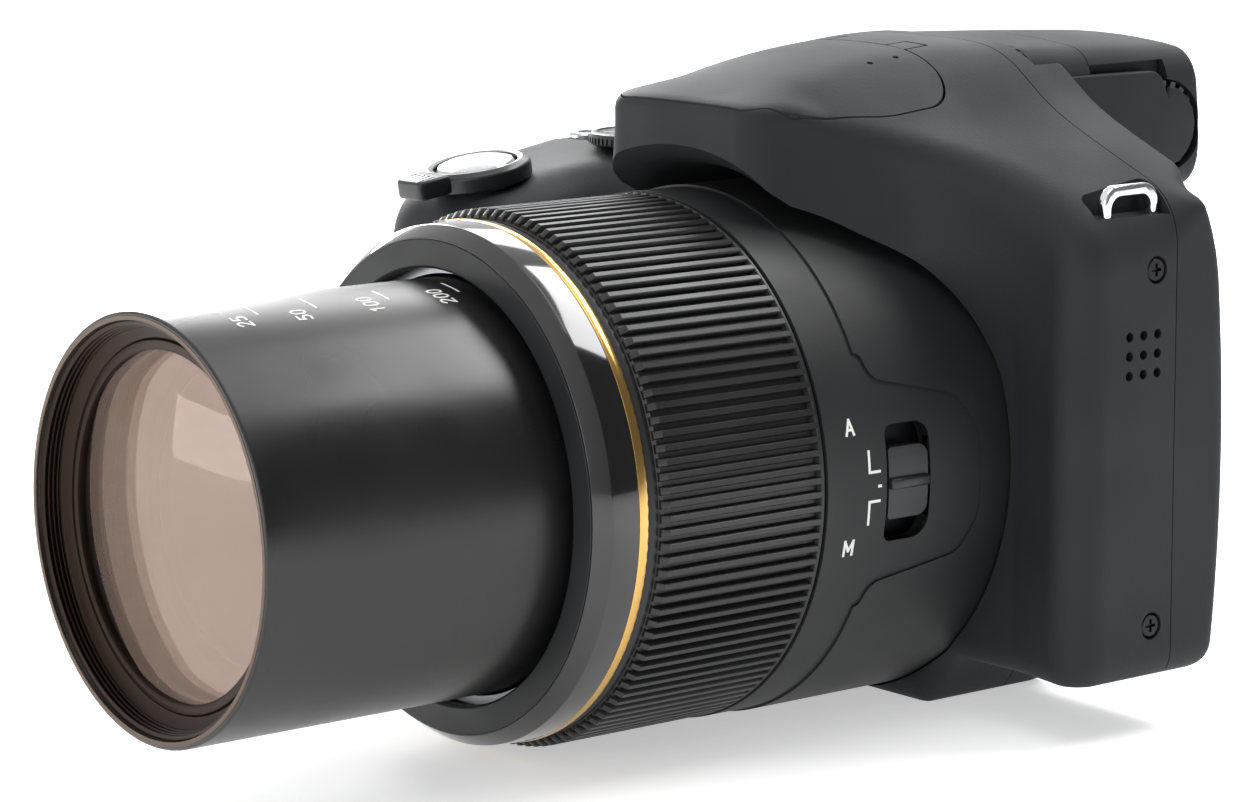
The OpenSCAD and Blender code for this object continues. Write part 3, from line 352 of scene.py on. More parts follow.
# Blackened edges of the lens elements: flocked, so they swallow light
INNER_BLACK = Finish("flocked_black", "#0b0b0c", roughness=0.85, grain_mm=0.3, grain_depth_mm=0.05,
                     sheen=0.1)
# Chrome plated zinc of the strap loops
CHROME = Finish("chrome_plated_zinc", "#dcdddf", roughness=0.1, metallic=1.0, grain_mm=2.0,
                grain_depth_mm=0.002, gloss_spread=0.03)
# Satin nickel paint on the shutter button
SILVER_PAINT = Finish("satin_nickel_paint", "#c9cacc", roughness=0.26, metallic=0.85, grain_mm=0.2,
                      grain_depth_mm=0.004)
# Moulded keys, a little glossier than the shells
KEY_ABS = Finish("satin_key_abs", "#1c1d20", roughness=0.34, grain_mm=0.3, grain_depth_mm=0.01)
# Red dyed acrylic of the video key
RED_ACRYLIC = Finish("red_acrylic", "#8e1d1a", roughness=0.25, grain_mm=0.6, grain_depth_mm=0.004)
# Machined aluminium: fine turning lines
MACHINED = Finish("machined_aluminium", "#8f9195", roughness=0.35, metallic=1.0, grain_mm=0.5,
                  grain_depth_mm=0.01, stretch=(1.0, 6.0, 1.0))
# Ground steel of rods, motor and sockets
GROUND_STEEL = Finish("ground_steel", "#a9abaf", roughness=0.28, metallic=1.0, grain_mm=0.5,
                      grain_depth_mm=0.006, stretch=(6.0, 1.0, 6.0))
# Blackened steel of the case screws
BLACK_STEEL = Finish("blackened_steel", "#2c2c2e", roughness=0.32, metallic=1.0, grain_mm=0.5,
                     grain_depth_mm=0.005)
# Solder resist over copper on the boards
BOARD = Finish("green_solder_resist", "#1f5a38", roughness=0.35, grain_mm=2.2, grain_depth_mm=0.03,
               mottle=0.3)
# Shrink sleeve of the cell and dark moulded cases
CELL_SLEEVE = Finish("grey_cell_sleeve", "#34363b", roughness=0.45, grain_mm=0.8, grain_depth_mm=0.01)
# Blue moulded card
CARD_CASE = Finish("blue_card_abs", "#2a4a7a", roughness=0.4, grain_mm=0.5, grain_depth_mm=0.01)
# Acetal gear resin
GEAR_RESIN = Finish("natural_acetal", "#d8d3c4", roughness=0.4, grain_mm=0.5, grain_depth_mm=0.01)
# Pad-printed white ink of the marks: flat and even
WHITE_INK = Finish("white_pad_print", "#e4e4e2", roughness=0.5, grain_mm=0.3, grain_depth_mm=0.002,
                   mottle=0.04)
# Multi-coated front face: nearly no reflection, so the eye sees into the lens
FRONT_FACE = Coating("multi_coated_crown_face", "#e8d8d2", 0.02)
# Inner faces of the front group: warm films, each one a faint mirror over those behind it
FIRST_BACK = Coating("warm_coated_crown_back", "#ffd9c0", 0.053)
SECOND_FACE = Coating("warm_coated_flint_face", "#ffdcc8", 0.05)
SECOND_BACK = Coating("warm_coated_flint_back", "#ffe2d4", 0.065)
THIRD_FACE = Coating("pale_coated_flint_face", "#ffe8e2", 0.1)
# Last face of the group: stands for the many faces deeper inside, so it mirrors most of what reaches it
THIRD_BACK = Coating("pale_coated_flint_back", "#fbf8f5", 0.85)
# Coated glass of the lenses deeper inside
INNER_GLASS = Glass("warm_coated_flint_glass", "#d8bdab", "#ffcfb4", ior=1.62, coat=1.0, coat_ior=1.9)
# Plain acrylic of windows
WINDOW_ACRYLIC = Glass("clear_acrylic", "#f2f4f5", "#ffffff", ior=1.49)
# Liquid crystal picture when it is off: blue black, faintly mottled
PICTURE = Finish("unlit_liquid_crystal", "#0d1016", roughness=0.12, grain_mm=0.5, grain_depth_mm=0.0,
                 mottle=0.2)
# Hard-coated screen window: black behind a mirror film
SCREEN_GLASS = Glass("hard_coated_screen_glass", "#06070a", "#e6ecff", ior=1.52, clear=0.0, coat=1.0)

SLOT_FINISH: dict[str, Surface] = {
    "body_plastic": SHELL_ABS, "grip_skin": GRIP_RUBBER, "barrel_plastic": BARREL_PC,
    "gloss_black": NOSE_LACQUER, "gold_trim": GOLD_ANODISED, "ring_plastic": RIB_PC,
    "inner_plastic": CELL_ANODISED, "metal_parts": MACHINED, "steel_parts": GROUND_STEEL,
    "chrome_parts": CHROME, "silver_button": SILVER_PAINT, "coated_glass": INNER_GLASS,
    "clear_glass": WINDOW_ACRYLIC, "screen_glass": SCREEN_GLASS, "board_green": BOARD,
    "cell_case": CELL_SLEEVE, "card_case": CARD_CASE, "key_plastic": KEY_ABS,
    "red_key": RED_ACRYLIC, "gear_resin": GEAR_RESIN,
}


def mesh_object(name: str, points: Sequence[Sequence[float]], faces: Sequence[Sequence[int]]
                ) -> bpy.types.Object:
    """Makes an object from points in millimetres, with doubles merged and faces turned outwards.

    Args:
        name: Name of the object.
        points: Corner places in millimetres.
        faces: Corner indices of each face.

    Returns:
        The new object, linked to the scene.
    """
    mesh = bpy.data.meshes.new(name)
    mesh.from_pydata([tuple(float(c) * MM for c in p) for p in points], [], [tuple(f) for f in faces])
    work = bmesh.new()
    work.from_mesh(mesh)
    bmesh.ops.remove_doubles(work, verts=work.verts, dist=1e-7)
    bmesh.ops.recalc_face_normals(work, faces=work.faces)
    work.to_mesh(mesh)
    work.free()
    made = bpy.data.objects.new(name, mesh)
    bpy.context.scene.collection.objects.link(made)
    return made


def drop(*objects: bpy.types.Object) -> None:
    """Removes helper objects and their meshes.

    Args:
        objects: Objects that are no longer needed.
    """
    for item in objects:
        mesh = item.data
        bpy.data.objects.remove(item)
        bpy.data.meshes.remove(mesh)


def settle(obj: bpy.types.Object) -> None:
    """Turns an object's modifiers into a plain mesh.

    Args:
        obj: Object whose modifiers are applied and removed.
    """
    graph = bpy.context.evaluated_depsgraph_get()
    mesh = bpy.data.meshes.new_from_object(obj.evaluated_get(graph))
    obj.modifiers.clear()
    old = obj.data
    obj.data = mesh
    bpy.data.meshes.remove(old)


def carve(obj: bpy.types.Object, cutter: bpy.types.Object, how: Cut = Cut.TAKE, keep: bool = False) -> None:
    """Cuts, keeps or joins one closed solid with another.

    Args:
        obj: Solid that changes.
        cutter: Solid that acts on it.
        how: The kind of cut.
        keep: Whether the cutter is used again.
    """
    for solver in ("MANIFOLD", "EXACT"):
        step = obj.modifiers.new("carve", "BOOLEAN")
        step.operation = how.value
        step.object = cutter
        step.solver = solver
        graph = bpy.context.evaluated_depsgraph_get()
        mesh = bpy.data.meshes.new_from_object(obj.evaluated_get(graph))
        obj.modifiers.clear()
        if len(mesh.polygons) > 0 and len(mesh.polygons) != len(obj.data.polygons):
            break
        log.warning("%s: cut by %s left nothing changed with %s", obj.name, cutter.name, solver)
    old = obj.data
    obj.data = mesh
    bpy.data.meshes.remove(old)
    if not keep:
        drop(cutter)


def twin(obj: bpy.types.Object, name: str) -> bpy.types.Object:
    """Copies an object and its mesh under a new name.

    Args:
        obj: Object to copy.
        name: Name of the copy.

    Returns:
        The copy.
    """
    made = bpy.data.objects.new(name, obj.data.copy())
    bpy.context.scene.collection.objects.link(made)
    return made


def soften(obj: bpy.types.Object, width: float, segments: int = 3, angle: float = 40.0) -> None:
    """Rounds an object's sharp edges.

    Args:
        obj: Object to round.
        width: Width of the rounding in millimetres.
        segments: Steps across the rounding.
        angle: Edges sharper than this many degrees are rounded.
    """
    step = obj.modifiers.new("soften", "BEVEL")
    step.width = width * MM
    step.segments = segments
    step.limit_method = "ANGLE"
    step.angle_limit = math.radians(angle)
    settle(obj)


def shift(obj: bpy.types.Object, matrix: Matrix) -> None:
    """Moves an object's mesh, leaving the object at the origin.

    Args:
        obj: Object to move.
        matrix: Turn, and shift in millimetres.
    """
    place = matrix.copy()
    place.translation = matrix.translation * MM
    obj.data.transform(place)


def arc(centre: Point2, radius: float, start: float, end: float, steps: int = 10) -> list[Point2]:
    """Points along an arc.

    Args:
        centre: Middle of the circle.
        radius: Radius of the circle.
        start: First angle in degrees.
        end: Last angle in degrees.
        steps: Number of steps.

    Returns:
        The points from start to end.
    """
    turn = [math.radians(start + (end - start) * i / steps) for i in range(steps + 1)]
    return [(centre[0] + radius * math.cos(t), centre[1] + radius * math.sin(t)) for t in turn]


def rounded(corners: Sequence[Point3], steps: int = 5) -> list[Point2]:
    """Outline with rounded corners.

    Args:
        corners: Place and radius of each corner, in order round the outline.
        steps: Steps across each rounding.

    Returns:
        The points of the rounded outline.
    """
    out: list[Point2] = []
    count = len(corners)
    for i, (a, b, radius) in enumerate(corners):
        here = Vector((a, b))
        before = Vector(corners[i - 1][:2]) - here
        after = Vector(corners[(i + 1) % count][:2]) - here
        if radius <= 0:
            out.append((a, b))
            continue
        half = before.angle(after) / 2
        reach = min(radius / math.tan(half), 0.49 * before.length, 0.49 * after.length)
        size = reach * math.tan(half)
        middle = here + (before.normalized() + after.normalized()).normalized() * (size / math.sin(half))
        first = here + before.normalized() * reach - middle
        last = here + after.normalized() * reach - middle
        start = math.atan2(first.y, first.x)
        sweep = (math.atan2(last.y, last.x) - start + math.pi) % (2 * math.pi) - math.pi
        out += arc((middle.x, middle.y), size, math.degrees(start), math.degrees(start + sweep), steps)
    return out


def round_box(width: float, height: float, radius: float, centre: Point2 = (0.0, 0.0)) -> list[Point2]:
    """Outline of a rounded rectangle.

    Args:
        width: Size along the first axis.
        height: Size along the second axis.
        radius: Radius of the corners.
        centre: Middle of the rectangle.

    Returns:
        The points of the outline.
    """
    a, b = width / 2, height / 2
    corners = [(a, -b), (a, b), (-a, b), (-a, -b)]
    return rounded([(centre[0] + x, centre[1] + y, radius) for x, y in corners])


def extrude(name: str, outline: Sequence[Point2], axis: Axis, low: float, high: float) -> bpy.types.Object:
    """Carries a closed outline along an axis.

    Args:
        name: Name of the object.
        outline: Points in the other two axes, in x, y, z order.
        axis: Direction of the extrusion.
        low: First place along the axis.
        high: Last place along the axis.

    Returns:
        The new solid.
    """
    others = [i for i in range(3) if i != axis.value]
    points = []
    for level in (low, high):
        for p in outline:
            place = [0.0, 0.0, 0.0]
            place[axis.value] = level
            place[others[0]], place[others[1]] = p[0], p[1]
            points.append(place)
    n = len(outline)
    faces = [list(range(n)), list(range(n, 2 * n))]
    faces += [[i, (i + 1) % n, n + (i + 1) % n, n + i] for i in range(n)]
    return mesh_object(name, points, faces)


def block(name: str, low: Point3, high: Point3, radius: float = 0.0, segments: int = 3) -> bpy.types.Object:
    """Box between two corners.

    Args:
        name: Name of the object.
        low: Lowest corner.
        high: Highest corner.
        radius: Rounding of the edges; none if 0.
        segments: Steps across the rounding.

    Returns:
        The new solid.
    """
    outline = [(low[0], low[1]), (high[0], low[1]), (high[0], high[1]), (low[0], high[1])]
    made = extrude(name, outline, Axis.Z, low[2], high[2])
    if radius > 0:
        soften(made, radius, segments)
    return made


def rod(name: str, axis: Axis, centre: Point2, radius: float, low: float, high: float,
        sides: int = 48) -> bpy.types.Object:
    """Round bar along an axis; the centre is in the other two axes."""
    return extrude(name, arc(centre, radius, 0, 360 - 360 / sides, sides - 1), axis, low, high)


def lathe(name: str, profile: Sequence[Point2], segments: int = ROUND_STEPS,
          centre: Point2 = (0.0, LENS_Z)) -> bpy.types.Object:
    """Solid turned about a line along Y, the lens axis unless a centre is given.

    Args:
        name: Name of the object.
        profile: Closed outline of radius and y pairs.
        segments: Steps round the circle.
        centre: x and z of the axis.

    Returns:
        The new solid.
    """
    turn = np.arange(segments) * 2 * math.pi / segments
    points = [(centre[0] + r * math.cos(t), y, centre[1] + r * math.sin(t))
              for r, y in profile for t in turn]
    count = len(profile)
    faces = []
    for i in range(count):
        a, b = i * segments, (i + 1) % count * segments
        if profile[i][0] < 1e-6 and profile[(i + 1) % count][0] < 1e-6:
            continue
        faces += [[a + k, a + (k + 1) % segments, b + (k + 1) % segments, b + k] for k in range(segments)]
    return mesh_object(name, points, faces)


def knob(name: str, profile: Sequence[Point2], place: Matrix, segments: int = 64) -> bpy.types.Object:
    """Solid turned about its own Z, then set in its place.

    Args:
        name: Name of the object.
        profile: Closed outline of radius and height pairs.
        place: Turn, and shift in millimetres.
        segments: Steps round the circle.

    Returns:
        The new solid.
    """
    made = lathe(name, profile, segments, (0.0, 0.0))
    made.data.transform(Matrix.Rotation(math.pi / 2, 4, "X"))
    shift(made, place)
    return made


def finish_piece(obj: bpy.types.Object, finish: Surface, body: str,
                 replaces: Sequence[str] = (), sharp: float = SHARP) -> bpy.types.Object:
    """Dresses a finished mesh and hands it to its body.

    Args:
        obj: The piece, at the origin, with its place in its mesh.
        finish: Its surface.
        body: Moving body that carries it.
        replaces: Solids of the frame that it stands for.
        sharp: Edges sharper than this stay crisp.

    Returns:
        The same object.
    """
    obj.data.materials.clear()
    obj.data.materials.append(finish.material())
    obj.data.shade_smooth()
    obj.data.set_sharp_from_angle(angle=sharp)
    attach(obj, body)
    if replaces:
        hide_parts(*replaces)
    log.info("%s: %d faces", obj.name, len(obj.data.polygons))
    return obj


def copies_tree() -> bpy.types.NodeTree:
    """Node tree that sets copies of a mesh round a line, or along a straight row.

    Returns:
        The tree, with Count, Turn, Centre, Step and Material inputs.
    """
    found = bpy.data.node_groups.get("placed_copies")
    if found:
        return found
    tree = bpy.data.node_groups.new("placed_copies", "GeometryNodeTree")
    face = tree.interface
    inputs = {"Geometry": "Geometry", "Count": "Int", "Turn": "Vector", "Centre": "Vector", "Step": "Vector",
              "Material": "Material"}
    for name, kind in inputs.items():
        face.new_socket(name, in_out="INPUT", socket_type="NodeSocket" + kind)
    face.new_socket("Geometry", in_out="OUTPUT", socket_type="NodeSocketGeometry")
    given = add_node(tree, "NodeGroupInput").outputs
    index = add_node(tree, "GeometryNodeInputIndex").outputs[0]
    along = add_node(tree, "ShaderNodeVectorMath", {0: given["Step"], "Scale": index}, operation="SCALE")
    spot = add_node(tree, "ShaderNodeVectorMath", {0: given["Centre"], 1: along.outputs[0]}, operation="ADD")
    points = add_node(tree, "GeometryNodePoints", {"Count": given["Count"], "Position": spot.outputs[0]})
    spin = add_node(tree, "ShaderNodeVectorMath", {0: given["Turn"], "Scale": index}, operation="SCALE")
    back = add_node(tree, "ShaderNodeVectorMath", {0: given["Centre"], "Scale": -1.0}, operation="SCALE")
    local = add_node(tree, "GeometryNodeTransform", {
        "Geometry": given["Geometry"], "Translation": back.outputs[0]})
    copies = add_node(tree, "GeometryNodeInstanceOnPoints", {
        "Points": points.outputs[0], "Instance": local.outputs[0], "Rotation": spin.outputs[0]})
    real = add_node(tree, "GeometryNodeRealizeInstances", {"Geometry": copies.outputs[0]})
    dressed = add_node(tree, "GeometryNodeSetMaterial", {
        "Geometry": real.outputs[0], "Material": given["Material"]})
    add_node(tree, "NodeGroupOutput", {"Geometry": dressed.outputs[0]})
    return tree


def repeat(obj: bpy.types.Object, finish: Surface, count: int, centre: Point3,
           turn: Point3 = (0.0, 0.0, 0.0), step: Point3 = (0.0, 0.0, 0.0)) -> None:
    """Repeats an object's mesh about a centre or along a row.

    Args:
        obj: Object whose mesh is the first copy.
        finish: Surface of the copies.
        count: Number of copies.
        centre: Point on the turning line, in millimetres.
        turn: Angles about x, y and z between copies, in radians.
        step: Offset between copies in millimetres.
    """
    tree = copies_tree()
    given = {"Count": count, "Turn": turn, "Centre": tuple(c * MM for c in centre),
             "Step": tuple(c * MM for c in step), "Material": finish.material()}
    row = obj.modifiers.new("copies", "NODES")
    row.node_group = tree
    for item in tree.interface.items_tree:
        if item.item_type == "SOCKET" and item.in_out == "INPUT" and item.name in given:
            row[item.identifier] = given[item.name]
    settle(obj)


def join(first: bpy.types.Object, *others: bpy.types.Object) -> bpy.types.Object:
    """Adds other meshes to the first object and removes them.

    Args:
        first: Object that gains the meshes.
        others: Objects whose meshes it gets.

    Returns:
        The first object.
    """
    work = bmesh.new()
    for item in (first, *others):
        work.from_mesh(item.data)
    work.to_mesh(first.data)
    work.free()
    drop(*others)
    return first


# Strokes of the printed signs, in a box one high; plain figures and letters only
SIGNS: dict[str, list[list[Point2]]] = {
    "0": [[(0.05, 0.2), (0.05, 0.8), (0.2, 1.0), (0.4, 1.0), (0.55, 0.8), (0.55, 0.2), (0.4, 0.0), (0.2, 0.0),
           (0.05, 0.2)]],
    "1": [[(0.1, 0.8), (0.32, 1.0), (0.32, 0.0)]],
    "2": [[(0.05, 0.8), (0.2, 1.0), (0.42, 1.0), (0.55, 0.8), (0.5, 0.6), (0.05, 0.0), (0.58, 0.0)]],
    "3": [[(0.05, 1.0), (0.55, 1.0), (0.28, 0.6), (0.5, 0.5), (0.57, 0.28), (0.42, 0.02), (0.18, 0.0),
           (0.03, 0.15)]],
    "4": [[(0.45, 0.0), (0.45, 1.0), (0.03, 0.3), (0.62, 0.3)]],
    "5": [[(0.52, 1.0), (0.1, 1.0), (0.06, 0.55), (0.35, 0.6), (0.56, 0.42), (0.55, 0.15), (0.38, 0.0),
           (0.05, 0.05)]],
    "6": [[(0.5, 1.0), (0.2, 0.7), (0.05, 0.3), (0.18, 0.02), (0.42, 0.02), (0.56, 0.26), (0.42, 0.52),
           (0.1, 0.45)]],
    "7": [[(0.05, 1.0), (0.57, 1.0), (0.2, 0.0)]],
    "8": [[(0.3, 0.53), (0.1, 0.7), (0.1, 0.9), (0.3, 1.0), (0.5, 0.9), (0.5, 0.7), (0.3, 0.53), (0.06, 0.33),
           (0.08, 0.1), (0.3, 0.0), (0.52, 0.1), (0.54, 0.33), (0.3, 0.53)]],
    "A": [[(0.0, 0.0), (0.32, 1.0), (0.64, 0.0)], [(0.11, 0.33), (0.53, 0.33)]],
    "M": [[(0.0, 0.0), (0.0, 1.0), (0.36, 0.3), (0.72, 1.0), (0.72, 0.0)]],
}


def signs(text: str, size: float, corner: Point2) -> list[list[Point2]]:
    """Strokes of a short text.

    Args:
        text: The signs.
        size: Height of the signs in millimetres.
        corner: Lower left corner of the first sign.

    Returns:
        The strokes as point lists.
    """
    out = []
    for place, sign in enumerate(text):
        for stroke in SIGNS[sign]:
            out.append([(corner[0] + size * (u + 0.82 * place), corner[1] + size * v) for u, v in stroke])
    return out


def print_marks(name: str, strokes: Sequence[Sequence[Point2]], width: float,
                place: Callable[[float, float, float], Point3]) -> bpy.types.Object:
    """Thin printed lines laid on a surface.

    Args:
        name: Name of the object.
        strokes: Point lists in the surface's own two directions, in millimetres.
        width: Width of the lines.
        place: Turns the two directions and a height above the surface to a place.

    Returns:
        The new object.
    """
    points: list[Point3] = []
    faces: list[list[int]] = []
    for stroke in strokes:
        for first, last in zip(stroke, stroke[1:]):
            along = Vector(last) - Vector(first)
            side = Vector((-along.y, along.x)).normalized() * width / 2
            cap = along.normalized() * width * 0.42
            steps = max(1, math.ceil(along.length / 0.9))
            start = len(points)
            for i in range(steps + 1):
                spot = Vector(first) - cap + (along + 2 * cap) * i / steps
                for level, way in INK_LEVELS:
                    here = spot + side * way
                    points.append(place(here.x, here.y, level))
            for i in range(steps):
                a = start + 4 * i
                faces += [[a + k, a + (k + 1) % 4, a + 4 + (k + 1) % 4, a + 4 + k] for k in range(4)]
            faces += [[start + k for k in range(4)], [start + 4 * steps + k for k in range(4)]]
    return mesh_object(name, points, faces)


def ease(t: np.ndarray) -> np.ndarray:
    """Smooth step from 0 to 1."""
    u = np.clip(t, 0, 1)
    return u * u * (3 - 2 * u)


def soft_max(a: np.ndarray, b: np.ndarray, k: np.ndarray | float) -> np.ndarray:
    """Larger of two distances, with the corner between them rounded over k."""
    h = np.maximum(k - np.abs(a - b), 0) / k
    return np.maximum(a, b) + h * h * k / 4


class PlanMap:
    """Signed distance to a plan outline, kept on a fine grid and read between its points."""

    def __init__(self, outline: Sequence[Point2], low: Point2, high: Point2, pitch: float = 0.25) -> None:
        """Measures the distance on the grid.

        Args:
            outline: Closed outline in x and y.
            low: Lowest corner of the grid.
            high: Highest corner of the grid.
            pitch: Spacing of the grid.
        """
        self.low = low
        self.pitch = pitch
        xs = np.arange(low[0], high[0] + pitch, pitch)
        ys = np.arange(low[1], high[1] + pitch, pitch)
        gx, gy = np.meshgrid(xs, ys, indexing="ij")
        near = np.full(gx.shape, 1e9)
        inside = np.zeros(gx.shape, bool)
        ring = np.array(outline)
        for (ax, ay), (bx, by) in zip(ring, np.roll(ring, -1, axis=0)):
            ex, ey = bx - ax, by - ay
            size = ex * ex + ey * ey
            if size < 1e-12:
                continue
            t = np.clip(((gx - ax) * ex + (gy - ay) * ey) / size, 0, 1)
            near = np.minimum(near, (gx - ax - t * ex) ** 2 + (gy - ay - t * ey) ** 2)
            if ay != by:
                crosses = (ay > gy) != (by > gy)
                inside ^= crosses & (gx < ax + (gy - ay) * ex / ey)
        self.values = np.sqrt(near) * np.where(inside, -1, 1)

    def at(self, x: np.ndarray, y: np.ndarray) -> np.ndarray:
        """Reads the distance between the grid's points.

        Args:
            x: First places.
            y: Second places.

        Returns:
            Distance at each place, negative inside.
        """
        u = np.clip((x - self.low[0]) / self.pitch, 0, self.values.shape[0] - 1.001)
        v = np.clip((y - self.low[1]) / self.pitch, 0, self.values.shape[1] - 1.001)
        i, j = u.astype(int), v.astype(int)
        u, v = u - i, v - j
        g = self.values
        return ((g[i, j] * (1 - u) + g[i + 1, j] * u) * (1 - v)
                + (g[i, j + 1] * (1 - u) + g[i + 1, j + 1] * u) * v)


def net_surface(name: str, form: Callable[..., np.ndarray], low: Point3, high: Point3, step: float
                ) -> bpy.types.Object:
    """Closed skin of a form given by a signed distance.

    Args:
        name: Name of the object.
        form: Function of x, y and z arrays in millimetres, negative inside.
        low: Lowest corner of the space searched.
        high: Highest corner of the space searched.
        step: Size of the cells.

    Returns:
        The new solid.
    """
    axes = [np.arange(low[i], high[i] + step, step) for i in range(3)]
    gx, gy, gz = np.meshgrid(*axes, indexing="ij")
    f = form(gx, gy, gz)
    full = np.array(f.shape)
    cells = tuple(full - 1)
    corner = {(a, b, c): f[a:a + cells[0], b:b + cells[1], c:c + cells[2]]
              for a in (0, 1) for b in (0, 1) for c in (0, 1)}
    filled = sum((v < 0).astype(np.int8) for v in corner.values())
    mixed = (filled > 0) & (filled < 8)
    index = np.full(cells, -1)
    index[mixed] = np.arange(int(mixed.sum()))
    total = np.zeros((int(mixed.sum()), 3))
    hits = np.zeros(int(mixed.sum()))
    for a in corner:
        for axis in range(3):
            if a[axis]:
                continue
            b = tuple(1 if i == axis else a[i] for i in range(3))
            fa, fb = corner[a][mixed], corner[b][mixed]
            crossed = (fa < 0) != (fb < 0)
            t = np.where(crossed, fa / np.where(crossed, fa - fb, 1), 0)
            spot = np.tile(np.array(a, float), (len(t), 1))
            spot[:, axis] += t
            total += spot * crossed[:, None]
            hits += crossed
    where = np.argwhere(mixed)
    points = (where + total / hits[:, None]) * step + np.array([axis[0] for axis in axes])
    faces = []
    for axis in range(3):
        u, v = (axis + 1) % 3, (axis + 2) % 3
        here = [slice(1, None)] * 3
        here[axis] = slice(0, -1)
        there = list(here)
        there[axis] = slice(1, None)
        inside = f < 0
        edge = np.argwhere(inside[tuple(here)] != inside[tuple(there)])
        edge[:, u] += 1
        edge[:, v] += 1
        edge = edge[(edge[:, u] < cells[u]) & (edge[:, v] < cells[v])]
        ring = []
        for du, dv in ((-1, -1), (0, -1), (0, 0), (-1, 0)):
            cell = edge.copy()
            cell[:, u] += du
            cell[:, v] += dv
            ring.append(index[cell[:, 0], cell[:, 1], cell[:, 2]])
        quads = np.stack(ring, axis=1)
        outward = inside[edge[:, 0], edge[:, 1], edge[:, 2]]
        quads[~outward] = quads[~outward][:, ::-1]
        faces.append(quads)
    nudge = 0.02
    for _ in range(4):
        value = form(*points.T)
        slope = np.stack([(form(*(points + nudge * way).T) - value) / nudge for way in np.eye(3)], axis=1)
        move = value[:, None] * slope / np.maximum((slope ** 2).sum(axis=1), 0.1)[:, None]
        length = np.linalg.norm(move, axis=1)
        points -= move * np.minimum(1, 0.6 * step / np.maximum(length, 1e-9))[:, None]
    return mesh_object(name, points.tolist(), np.concatenate(faces).tolist())


